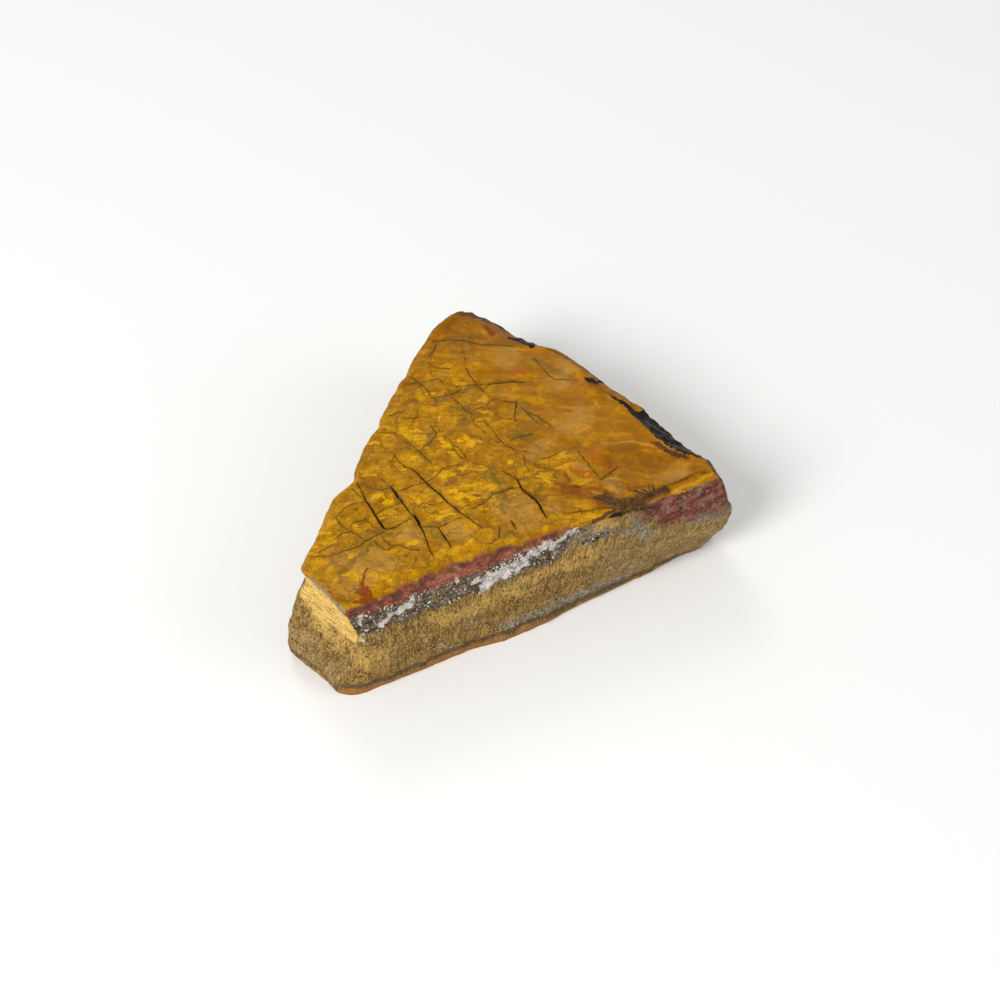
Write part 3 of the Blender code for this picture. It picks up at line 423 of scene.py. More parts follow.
def rimSamples(step):
    table = np.array(rimTable)
    at, whole = pathLengths(table[:, :2])
    count = round(whole / step)
    along = np.arange(count) * whole / count
    rim = np.stack([np.interp(along, at, table[:, k], period=whole) for k in range(4)], axis=1)
    for turn in range(3):       # takes the sharpest corner off the outline, as wear does
        rim = (np.roll(rim, 1, axis=0) + 2.0 * rim + np.roll(rim, -1, axis=0)) / 4.0
    ragged = stone["rimRagged"] * roughAt(rim[:, :2], 7.0, 1.6)
    ahead = np.roll(rim[:, :2], -1, axis=0) - np.roll(rim[:, :2], 1, axis=0)
    ahead /= np.linalg.norm(ahead, axis=1, keepdims=True)
    rim[:, :2] += np.column_stack([ahead[:, 1], -ahead[:, 0]]) * ragged[:, None]
    return rim, along, whole


def wallDirections(along, whole):
    at = pathLengths(np.array(rimTable)[:, :2])[0]
    places = [at[index] for index, _, _ in wallTable]

    def between(column, k):
        return np.interp(along, places, [row[column][k] for row in wallTable], period=whole)

    directions = np.stack([between(1, k) for k in (0, 1)], axis=1)
    directions /= np.linalg.norm(directions, axis=1, keepdims=True)
    return directions, np.stack([between(2, k) for k in range(len(depths))], axis=1)


def distanceAt(distances, share):
    k = min(int(np.searchsorted(depths, share, side="right")) - 1, len(depths) - 2)
    span = depths[k + 1] - depths[k]
    u = (share - depths[k]) / span
    slopes = np.gradient(distances, depths, axis=1) * span
    h = (2 * u**3 - 3 * u**2 + 1, u**3 - 2 * u**2 + u, 3 * u**2 - 2 * u**3, u**3 - u**2)
    return h[0] * distances[:, k] + h[1] * slopes[:, k] + h[2] * distances[:, k + 1] + h[3] * slopes[:, k + 1]


def nearestRim(points, rim):
    ends = np.roll(rim, -1, axis=0)
    best = np.full(len(points), np.inf)
    found = np.zeros((len(points), 3))
    for number, (start, end) in enumerate(zip(rim, ends)):
        side = end[:2] - start[:2]
        share = np.clip((points - start[:2]) @ side / (side @ side), 0.0, 1.0)
        distance = np.linalg.norm(points - start[:2] - share[:, None] * side, axis=1)
        nearer = distance < best
        best[nearer] = distance[nearer]
        found[nearer, :2] = (start[2:] + share[:, None] * (end[2:] - start[2:]))[nearer]
        found[nearer, 2] = number
    return best, found[:, 0], found[:, 1], found[:, 2] * stone["rimStep"]


def plateHeights(points):
    size, jitter, step, tilt = stone["plates"]
    draw = np.random.default_rng(stone["seed"])
    grid = np.arange(-48.0, 49.0, size)     # a little more than the stone
    centres = np.array([(x, y) for x in grid for y in grid])
    centres += draw.uniform(-jitter, jitter, (len(grid) ** 2, 2)) * size
    levels = draw.uniform(-step, step, len(centres))
    tilts = draw.uniform(-tilt, tilt, (len(centres), 2))
    own = np.zeros(len(points), int)
    for start in range(0, len(points), 4000):       # in slices, to keep the distance table small
        away = points[start:start + 4000, None, :] - centres[None, :, :]
        own[start:start + 4000] = np.argmin((away ** 2).sum(axis=2), axis=1)
    heights = levels[own] + ((points - centres[own]) * tilts[own]).sum(axis=1)
    edge, run = stone["smoothFromX"], stone["smoothRun"]
    return heights * (1.0 - stone["smoothed"] * smoothstep(edge - run, edge + run, points[:, 0]))


def scoopHeights(points, shape, layer, reach=75.0):
    # shallow hollows that meet in ridges, the way a brittle stone breaks
    size, radius, tilt = shape
    draw = np.random.default_rng(stone["seed"] + layer)
    count = int(2.0 * reach / size) + 1
    deep = size * size / (8.0 * radius)
    centres = np.stack(np.mgrid[0:count, 0:count], axis=2) + draw.uniform(0.05, 0.95, (count, count, 2))
    centres = centres * size - reach
    levels = draw.uniform(-deep, deep, (count, count))
    tilts = draw.uniform(-tilt, tilt, (count, count, 2))
    strays = np.column_stack([roughAt(points, 10.0 * layer + k, 0.5 * size, 2) for k in (1, 2)])
    moved = points + 0.12 * size * strays       # so that no ridge between two hollows is straight
    own = np.floor((moved + reach) / size).astype(int)
    heights = np.full(len(points), np.inf)
    for right in range(-2, 3):
        for up in range(-2, 3):
            i, j = own[:, 0] + right, own[:, 1] + up
            away = moved - centres[i, j]
            tilted = levels[i, j] + (away * tilts[i, j]).sum(axis=1)
            heights = np.minimum(heights, tilted + (away ** 2).sum(axis=1) / (2.0 * radius))
    return heights - deep


def scarDepths(points):
    hollow = np.zeros(len(points))
    for x, y, halfWidth, halfDepth, turn, depth in scarTable:
        angle = math.radians(turn)
        across = (points[:, 0] - x) * math.cos(angle) + (points[:, 1] - y) * math.sin(angle)
        along = (points[:, 1] - y) * math.cos(angle) - (points[:, 0] - x) * math.sin(angle)
        radius = (across / halfWidth) ** 2 + (along / halfDepth) ** 2
        hollow = np.maximum(hollow, depth * np.clip(1.0 - radius, 0.0, 1.0))
    return hollow


def topForm(points, rim):
    # the same form as the solid's top face, with finer chips on its plates
    distance, width, drop, along = nearestRim(points, rim)
    border = drop * np.clip(1.0 - distance / width, 0.0, 1.0)
    inside = smoothstep(*stone["insideRun"], distance)
    heights = stone["height"] - border - scarDepths(points) * inside + plateHeights(points) * inside
    ledgeX, ledgeY, ledgeDrop = stone["ledge"]
    runX, runY = stone["ledgeRun"]
    ledge = smoothstep(ledgeX - runX, ledgeX + runX, points[:, 0])
    ledge *= smoothstep(ledgeY + runY, ledgeY - runY, points[:, 1])
    heights -= ledgeDrop * ledge
    (x0, y0), (x1, y1) = stone["apexJoint"]
    across = np.array([y0 - y1, x1 - x0]) / math.hypot(x1 - x0, y1 - y0)
    heights -= stone["apexSlope"] * np.clip((points - (x0, y0)) @ across, 0.0, None) * inside
    black = smoothstep(*stone["blackRun"], border)
    heights += lumps(points, *stone["topLumps"]) * inside + lumps(points, stone["blackLumps"]) * black
    left = smoothstep(*stone["leftRun"], points[:, 0])
    least = stone["brokenRight"]
    broken = smoothstep(*stone["brokenRun"], roughAt(points, 70.0, stone["brokenSize"]))
    broken *= least + (1.0 - least) * left
    scoops = scoopHeights(points, stone["scoops"], 3) * left
    scoops += scoopHeights(points, stone["scoopsRight"], 4) * (1.0 - left)
    heights += (scoops + scoopHeights(points, stone["chips"], 5) * broken) * inside
    heights += lumps(points, stone["topGrit"]) * inside + lumps(points, stone["blackGrit"]) * black
    return heights, border / np.maximum(drop, 0.01), drop, along


def spacedLine(points, step, wander):
    # a line through the points, with a point every step and a slight natural wander
    points = np.array(points, float)
    sides = np.linalg.norm(np.diff(points[:, :2], axis=0), axis=1)
    at = np.concatenate([[0.0], np.cumsum(sides)])
    count = max(3, int(round(at[-1] / step)) + 1)
    along = np.linspace(0.0, at[-1], count)
    line = np.stack([np.interp(along, at, points[:, k]) for k in range(points.shape[1])], axis=1)
    line[1:-1] = (line[:-2] + 2.0 * line[1:-1] + line[2:]) / 4.0
    fade = np.clip(np.minimum(along, at[-1] - along), 0.0, 1.0)    # in the last millimetre at each end
    for k in (0, 1):
        line[:, k] += wander * fade * np.array([rough(x, y, 30.0 + 9.0 * k, 1.0, 3) for x, y in line[:, :2]])
    return line


def crackLines():
    # every crack as x, y, width and depth along its length
    lines = []
    for depth, points in openCracks:
        line = spacedLine(points, crackStep, crackWander)
        lines.append(np.column_stack([line, np.full(len(line), depth)]))
    for width, points in closedJoints:
        line = spacedLine([(x, y, width) for x, y in points], crackStep, jointWander)
        lines.append(np.column_stack([line, np.full(len(line), jointDepth)]))
    return lines


def crackField(points, lines):
    # how deep each point lies in a crack, how dark its line is, how stained the rock beside it is,
    # and the distance to the crack's edge
    sink, dark, halo = np.zeros(len(points)), np.zeros(len(points)), np.zeros(len(points))
    clearance = np.full(len(points), np.inf)
    for line in lines:
        low, high = line[:, :2].min(axis=0) - crackMargin, line[:, :2].max(axis=0) + crackMargin
        near = np.flatnonzero(((points > low) & (points < high)).all(axis=1))
        if not len(near):
            continue
        own = points[near]
        best = np.full(len(near), np.inf)
        size = np.zeros((len(near), 2))
        for start, end in zip(line, line[1:]):
            side = end[:2] - start[:2]
            share = np.clip((own - start[:2]) @ side / (side @ side), 0.0, 1.0)
            distance = np.linalg.norm(own - start[:2] - share[:, None] * side, axis=1)
            nearer = distance < best
            best[nearer] = distance[nearer]
            size[nearer] = (start[2:] + share[:, None] * (end[2:] - start[2:]))[nearer]
        half = size[:, 0] / 2.0
        depth = size[:, 1] * np.minimum(1.0, size[:, 0] / fullWidth)
        floor = depth * np.clip(1.0 - best / np.maximum(half, 0.01), 0.0, 1.0) ** 0.7
        worn = lipDepth * np.clip(1.0 - (best - half) / lipWidth, 0.0, 1.0)
        worn = worn * np.clip(size[:, 0] / 0.2, 0.3, 1.0)
        sink[near] = np.maximum(sink[near], floor + worn)
        dark[near] = np.maximum(dark[near], 1.0 - smoothstep(0.5 * half, half + 0.06, best))
        stain = np.exp(-(np.maximum(best - half, 0.0) / haloReach) ** 2)
        stain = stain * np.clip(size[:, 0] / fullWidth, 0.2, 1.0)
        halo[near] = np.maximum(halo[near], stain)
        clearance[near] = np.minimum(clearance[near], best - half)
    return sink, dark, halo, clearance


def wandered(points, amount, size):
    # the same places, strayed a little, so that no band or patch keeps a drawn edge
    shift = np.array([(rough(x, y, 5.0, size), rough(x, y, 25.0, size)) for x, y in points])
    return points + shift * np.reshape(amount, (-1, 1))


def areaField(points, strokes):
    # 1 on a stroke, a half at its stated edge, and 0 at twice its width
    field = np.zeros(len(points))
    for x0, y0, x1, y1, half in strokes:
        side = np.array([x1 - x0, y1 - y0])
        share = np.clip((points - (x0, y0)) @ side / max(side @ side, 1e-6), 0.0, 1.0)
        distance = np.linalg.norm(points - (x0, y0) - share[:, None] * side, axis=1)
        field = np.maximum(field, np.clip(1.0 - 0.5 * distance / half, 0.0, 1.0))
    return field


def wallRelief(points):
    lumpDepth, lumpSize = stone["wallLumps"]
    swellDepth, swellSize, drawnOut = stone["wallSwells"]
    relief = lumpDepth * roughAt(points, 0.0, lumpSize)
    relief += swellDepth * roughAt(points, 0.0, swellSize, flatten=drawnOut)
    front = smoothstep(-28.0, -31.0, points[:, 1])
    band = smoothstep(stone["fibreBandTop"] + 0.5, stone["fibreBandTop"] - 0.5, points[:, 2])
    height, width, depth = stone["groove"]
    relief += stone["fibreBandProud"] * front * band
    return relief - depth * np.exp(-(((points[:, 2] - height) / width) ** 2))


def leanOf(along):
    return np.interp(along, [place for place, _ in fibreLean], [lean for _, lean in fibreLean])


def fineWall(points, along, areas):
    # bundles of fibres that run down the wall and break in steps, and loose grains where the host rock shows
    place = along - leanOf(along) * points[:, 2]
    split = np.column_stack([place - 125.0, points[:, 2] / stone["splinterLength"]])
    splinters = scoopHeights(split, stone["splinters"], 6, 145.0)

    def ridges(lengths, layer):
        return np.array([rough(u, z, layer, 1.0, 2)
                         for u, z in zip(place / lengths[0], points[:, 2] / lengths[1])])

    grains = roughAt(points, 50.0, 0.9)
    rock = np.clip(areas["rock"] * 1.6 + areas["quartz"] - 0.4, 0.0, 1.0)
    calm = 1.0 - 0.8 * np.clip(areas["endFace"] * 1.6 - 0.4, 0.0, 1.0)
    relief = ridges(stone["bundle"], 3.0) + 0.8 * ridges(stone["layer"], 8.0)
    fibres = (stone["fibreRidge"] * relief + splinters) * (1.0 - rock) * calm
    return fibres + stone["grainRelief"] * grains * (0.4 * calm + rock)


def topSheet(outline, step, lines):
    low, high = outline.min(axis=0), outline.max(axis=0)
    rows = np.arange(low[1], high[1], step * math.sqrt(0.75))
    columns = np.arange(low[0], high[0], step)
    net = np.array([(x + (k % 2) * step / 2.0, y) for k, y in enumerate(rows) for x in columns])
    net += np.random.default_rng(stone["seed"]).uniform(-0.12, 0.12, net.shape) * step
    rim = np.column_stack([outline, np.zeros((len(outline), 2))])
    net = net[nearestRim(net, rim)[0] > 0.6 * step]
    count = len(outline)
    edges = [(k, (k + 1) % count) for k in range(count)]
    blocks = [outline]
    if lines:
        net = net[crackField(net, lines)[3] > netClearance]
        start = count
        for line in lines:
            ahead = np.gradient(line[:, :2], axis=0)
            ahead /= np.linalg.norm(ahead, axis=1, keepdims=True)
            across = np.column_stack([-ahead[:, 1], ahead[:, 0]])
            for side in (-1, -0.5, 0, 0.5, 1):      # worn edge, lip, floor, lip and worn edge
                reach = line[:, 2] / 2.0 * (side != 0) + lipWidth * (abs(side) == 1)
                blocks.append(line[:, :2] + across * (np.sign(side) * reach)[:, None])
                edges += [(start + k, start + k + 1) for k in range(len(line) - 1)]
                start += len(line)
    points = np.concatenate(blocks + [net])
    found = delaunay_2d_cdt([Vector(p) for p in points], edges, [], 1, 1e-5)
    rimOf = {}
    for index, sources in enumerate(found[3]):
        for source in sources:
            if source < count:
                rimOf[index] = source
    return np.array([tuple(p) for p in found[0]]), np.array([tuple(face) for face in found[2]]), rimOf


def joinSheet(points, triangles, rimOf, ringStart, nextIndex):
    # numbers a sheet's points in the whole mesh: those on its outline are the ring's own
    numbers = np.zeros(len(points), int)
    inner = []
    for index in range(len(points)):
        if index in rimOf:
            numbers[index] = ringStart + rimOf[index]
        else:
            numbers[index] = nextIndex + len(inner)
            inner.append(index)
    return numbers[triangles], np.array(inner)


def wallRings(rim, along, whole, tops):
    # one ring of points for each row of the wall, from the edge of the top face down to the foot
    directions, distances = wallDirections(along, whole)
    rings = []
    for share in np.linspace(0.0, 1.0, stone["wallRows"] + 1):
        out = distanceAt(distances, share)
        ring = np.column_stack([rim[:, :2] + directions * out[:, None], tops * (1.0 - share)])
        place = np.column_stack([along, ring[:, 2]])
        areas = {name: areaField(place, wallAreas[name]) for name in ("rock", "quartz", "endFace")}
        fade = smoothstep(0.0, 0.08, share) * (1.0 - 0.5 * smoothstep(0.93, 1.0, share))
        fineFade = smoothstep(0.0, 0.04, share) * (1.0 - smoothstep(0.97, 1.0, share))
        relief = wallRelief(ring) * fade + fineWall(ring, along, areas) * fineFade
        ring[:, :2] += directions * relief[:, None]
        rings.append(ring)
    return rings


def wallFaces(count):
    k = np.arange(count)
    after = (k + 1) % count
    quads = np.concatenate([np.column_stack([row * count + k, (row + 1) * count + k,
                                             (row + 1) * count + after, row * count + after])
                            for row in range(stone["wallRows"])])
    return np.concatenate([quads[:, [0, 1, 2]], quads[:, [0, 2, 3]]])


def areaValues(counts, rim, wallPlace, topXY, borderShare, drop, topAlong):
    # how far each point lies in each coloured area, for the points of the wall, the top face and the foot
    count, onTop = len(rim), slice(counts[0], counts[0] + counts[1])
    front, back, top = stone["wander"]
    wallWave, topWave = stone["wanderSizes"]
    strays = front + (back - front) * smoothstep(*stone["backStarts"], wallPlace[:, 0])
    strayed = wandered(wallPlace, strays, wallWave)
    topPlace = wandered(np.concatenate([rim[:, :2], topXY]), top, topWave)
    values = {name: np.zeros(sum(counts)) for name in [*wallAreas, *topAreas]}
    for name, strokes in wallAreas.items():
        values[name][:counts[0]] = areaField(strayed, strokes)
    for name, strokes in topAreas.items():
        field = areaField(topPlace, strokes)
        values[name][:count] = np.maximum(values[name][:count], field[:count])
        values[name][onTop] = field[count:]
    bands = borderBands
    uneven = 1.0 + lumps(topXY, bands["rustyLumps"])
    rusty = 1.3 * borderShare * (1.0 - smoothstep(*bands["rustyFades"], topAlong)) * uneven
    values["rusty"][onTop] = np.clip(rusty, 0.0, 1.0)
    values["lip"][onTop] = np.clip(1.6 * borderShare, 0.0, 1.0) * (topAlong > bands["lipStarts"])
    black = np.clip(2.6 * borderShare, 0.0, 1.0) * smoothstep(*bands["blackDrop"], drop)
    black = np.maximum(black * (topAlong > bands["blackStarts"]), values["black"][onTop])
    values["black"][onTop] = np.clip(black - 1.6 * values["sliver"][onTop], 0.0, 1.0)
    return values


def addFibrePlace(mesh, heights, along, whole, wallCount):
    # fibre coordinates on the wall, kept at the face corners so that they can start again at the first corner
    loops = np.zeros(len(mesh.loops), int)
    mesh.loops.foreach_get("vertex_index", loops)
    count = len(along)
    column = np.where(loops < wallCount, loops % count, 0)
    columnsOfFace = column.reshape(-1, 3)
    lastFace = (columnsOfFace.max(axis=1) == count - 1) & (columnsOfFace.min(axis=1) == 0)
    distance = along[column] + whole * (np.repeat(lastFace, 3) & (column == 0))
    place = np.zeros((len(loops), 3))
    place[:, 0] = distance - leanOf(distance) * heights[loops]
    place[:, 1] = heights[loops]
    layer = mesh.attributes.new("fibrePlace", "FLOAT_VECTOR", "CORNER")
    layer.data.foreach_set("vector", place.astype(np.float32).ravel())


def buildStone():
    rim, along, whole = rimSamples(stone["rimStep"])
    count, rows = len(rim), stone["wallRows"]
    lines = crackLines()
    print("stone: outline of", count, "points and", len(lines), "cracks")
    topPoints, topTriangles, topRim = topSheet(rim[:, :2], stone["topStep"], lines)
    print("stone: top face of", len(topTriangles), "triangles")
    rings = wallRings(rim, along, whole, topForm(rim[:, :2], rim)[0])
    wall = np.concatenate(rings)
    print("stone: wall of", 2 * rows * count, "triangles")

    topFaces, topInner = joinSheet(topPoints, topTriangles, topRim, 0, len(wall))
    topXY = topPoints[topInner]
    heights, borderShare, drop, topAlong = topForm(topXY, rim)
    sink, dark, halo, _ = crackField(topXY, lines)
    topVertices = np.column_stack([topXY, heights - sink])

    footPoints, footTriangles, footRim = topSheet(rings[-1][:, :2], stone["footStep"], [])
    footStart = len(wall) + len(topVertices)
    footFaces, footInner = joinSheet(footPoints, footTriangles, footRim, rows * count, footStart)
    footVertices = np.column_stack([footPoints[footInner], np.zeros(len(footInner))])

    vertices = np.concatenate([wall, topVertices, footVertices])
    faces = np.concatenate([topFaces, wallFaces(count), footFaces[:, ::-1]])
    mesh = bpy.data.meshes.new("tigersEyeStone")
    mesh.from_pydata((vertices * mm).tolist(), [], faces.tolist())
    mesh.validate()
    mesh.update()

    # values that the material reads at each vertex
    counts = (len(wall), len(topVertices), len(footVertices))
    wallPlace = np.column_stack([np.tile(along, rows + 1), wall[:, 2]])
    values = areaValues(counts, rim, wallPlace, topXY, borderShare, drop, topAlong)
    onTopOnly = {"warm": smoothstep(*stone["warmRun"], topXY @ stone["warmWay"]), "crackDark": dark,
                 "crackDepthShade": np.clip(sink / shadeDepth, 0.0, 1.0), "crackHalo": halo}
    for name, numbers in onTopOnly.items():
        values[name] = np.concatenate([np.zeros(counts[0]), numbers, np.zeros(counts[2])])
    ringTop, ringFoot = np.repeat([[1.0] + [0.0] * rows, [0.0] * rows + [1.0]], count, axis=1)
    values["onTop"] = np.concatenate([ringTop, np.ones(counts[1]), np.zeros(counts[2])])
    values["onFoot"] = np.concatenate([ringFoot, np.zeros(counts[1]), np.ones(counts[2])])
    for name, numbers in values.items():
        layer = mesh.attributes.new(name, "FLOAT", "POINT")
        layer.data.foreach_set("value", numbers.astype(np.float32))
    addFibrePlace(mesh, vertices[:, 2], along, whole, counts[0])

    piece = bpy.data.objects.new("tigersEyeStone", mesh)
    bpy.context.scene.collection.objects.link(piece)
    mesh.shade_smooth()
    mesh.set_sharp_from_angle(angle=math.radians(stone["sharpAngle"]))
    print("stone:", len(mesh.polygons), "triangles")
    return piece


# Finish of the stone

finish = {
    # tiger's eye: quartz grown through fibres, broken and unpolished. It looks silky where it breaks
    # across the seam, and like splintered wood on the walls, where the fibres show side on.
    "goldDark": "#8E5C00", "gold": "#B88002", "goldLight": "#D29A08", "goldWarm": "#9A5A00",
    # darker gold for painted shade, and for the darker patches of the stone in the shade areas
    "goldShade": "#7C4A00",
    # glint is the bright yellow of the painted glints
    "paintedGlint": "#E2A906", "tan": "#B4843A", "smudge": "#6E5A20", "rust": "#864000", "orange": "#AC5C00",
    # ridge is the pale gold of the painted highlights on ridges and ripple crests
    "redDrop": "#7E2E00", "purple": ("#1E1410", "#3A251B", "#6A4A2E"), "paintedRidgeLight": "#D69E30",
    # crack is the dark film in a crack, with painted shade
    "jointDark": "#4A3004", "halo": "#7A560A", "crack": "#100802",
    "fibreDark": "#3E2E16", "fibre": "#826334", "fibreLight": "#BE9A58", "fibreGold": "#CEA048",
    "endFace": ("#A67E38", "#DAB25C", "#EECB80"),
    "olive": ("#4E3E24", "#8C7246", "#B89A66"), "seam": "#4A4038", "skin": "#A26A34", "lip": "#96826E",
    "grey": ("#57503F", "#7C7464", "#A39B8A"), "foot": ("#5C4326", "#A26A34", "#8A6A3C"),
    # ironstone and milky quartz of the host rock: grainy and dull, with glassy white grains
    "rock": ("#1E1713", "#463A2E", "#75685A", "#AFA393"), "quartz": ("#716A62", "#B2ABA2", "#E8E2DC"),
    # jasper: fine-grained and dull, with pale flecks, and rustier beside the gold
    "jasper": ("#48201A", "#6C352C", "#925C50"), "fleck": "#C4A296",
    "rusty": ("#563030", "#86483C", "#A86C5A"),
    "rustEdge": "#A05A10", "black": ("#050404", "#15110E"),
    # noise on the stone: size of its lumps in millimetres, detail, distortion and roughness
    "noise": {
        "broad": (7.0, 3.0, 0.6, 0.5), "middle": (2.4, 4.0, 0.0, 0.5), "small": (0.8, 4.0, 0.0, 0.5),
        "tiny": (0.3, 2.0, 0.0, 0.5), "grainy": (0.4, 4.0, 0.0, 0.7), "lumpy": (1.3, 3.0, 0.0, 0.6),
        "rockPatches": (1.1, 3.0, 0.0, 0.5), "rustPatches": (1.2, 4.0, 0.0, 0.5),
        "flecks": (0.5, 3.0, 0.0, 0.5), "sparkles": (0.55, 2.0, 0.0, 0.5),
    },
    # the same along the wall and down it. Real fibres are a few thousandths of a millimetre thick, too
    # fine to show, so the strands are drawn 0.14 mm wide
    "fibreNoise": {
        "strands": ((0.14, 0.8, 1.0), 4.0, 0.0, 0.7), "bundles": ((0.5, 2.8, 1.0), 3.0, 0.4, 0.5),
        "pits": ((0.34, 0.5, 1.0), 2.0, 0.0, 0.5), "layers": ((9.0, 1.0, 1.0), 3.0, 0.0, 0.5),
        "scratches": ((3.5, 0.3, 1.0), 3.0, 0.0, 0.5), "streaks": ((3.0, 0.7, 1.0), 3.0, 0.0, 0.5),
        "olivePatches": ((6.0, 2.4, 1.0), 3.0, 0.0, 0.5),
    },
    # ways that the top face is drawn out: turn in degrees, and the length along it and across it
    "grain": {"plates": (35.0, 1.7, 1.0), "chips": (-20.0, 2.4, 1.0), "ripples": (70.0, 2.8, 0.2),
              "crossRipples": (15.0, 2.4, 0.22), "paintedSheen": (-35.0, 9.0, 1.6)},
    "plateSize": 2.9, "chipSize": 0.9, "netPerMm": 0.34, "bend": 1.1, "bendSize": 2.5,
    "topRoughness": 0.5, "wallRoughness": 0.7, "rockRoughness": 0.8, "quartzRoughness": 0.4,
    "specular": 0.25,       # dust and broken fibres take some of the gloss off
    "sheen": "#FFD890",     # light comes back golden from the fibres just below the surface
}


def blend(tree, *parts):
    # the sum of patterns, each times its weight
    total = 0.0
    for source, weight in parts:
        total = addNode(tree, "ShaderNodeMath", {0: source, 1: weight, 2: total},
                        operation="MULTIPLY_ADD").outputs[0]
    return total


def mask(tree, source, low, high, weight=1.0):
    # comes in softly between two values of a pattern, and is as strong as its weight
    eased = addNode(tree, "ShaderNodeMapRange", {"Value": source, "From Min": low, "From Max": high},
                    interpolation_type="SMOOTHSTEP").outputs["Result"]
    return addNode(tree, "ShaderNodeMath", {0: eased, 1: weight}, operation="MULTIPLY").outputs[0]


def area(tree, mark, ragged, amount, edge, weight=1.0):
    # an area of colour with a broken edge
    middle = 0.5 + amount / 2.0
    return mask(tree, blend(tree, (mark, 1.0), (ragged, amount)), middle - edge, middle + edge, weight)


def scattered(tree, mark, tone, weight):
    # flakes that lie close in the middle of an area and thin out round it
    return mask(tree, blend(tree, (mark, 1.0), (tone, 1.4)), 1.33, 1.40, weight)


def pattern(tree, where, size, detail=3.0, distortion=0.0, roughness=0.5):
    # noise whose lumps are the given size in millimetres; a size can differ along each axis
    sizes = size if isinstance(size, tuple) else (size,) * 3
    scaled = addNode(tree, "ShaderNodeVectorMath", {0: where, 1: tuple(1.0 / s for s in sizes)},
                     operation="MULTIPLY").outputs[0]
    settings = {"Vector": scaled, "Scale": 1.0, "Detail": detail, "Distortion": distortion,
                "Roughness": roughness}
    return addNode(tree, "ShaderNodeTexNoise", settings).outputs["Fac"]


def facets(tree, where, size):
    # flat faces that meet in sharp edges: three random tones for each, and the height its slope gives
    cells = addNode(tree, "ShaderNodeTexVoronoi", {"Vector": where, "Scale": 1.0 / size})
    away = addNode(tree, "ShaderNodeVectorMath", {0: where, 1: cells.outputs["Position"]},
                   operation="SUBTRACT").outputs[0]
    lean = addNode(tree, "ShaderNodeVectorMath", {0: cells.outputs["Color"], 1: (0.5,) * 3},
                   operation="SUBTRACT").outputs[0]
    slope = addNode(tree, "ShaderNodeVectorMath", {0: away, 1: lean},
                    operation="DOT_PRODUCT").outputs["Value"]
    tones = addNode(tree, "ShaderNodeSeparateColor", {"Color": cells.outputs["Color"]}).outputs
    return tones["Red"], tones["Green"], tones["Blue"], slope


def toned(tree, parts, places, colours):
    # colours that follow a blend of patterns
    stops = list(zip(places, colours))
    return addNode(tree, "ShaderNodeValToRGB", {"Fac": blend(tree, *parts)}, stops=stops).outputs["Color"]


def layered(tree, base, layers):
    for cover, colour in layers:
        base = addNode(tree, "ShaderNodeMix", {0: cover, 6: base, 7: colour}, data_type="RGBA").outputs[2]
    return base


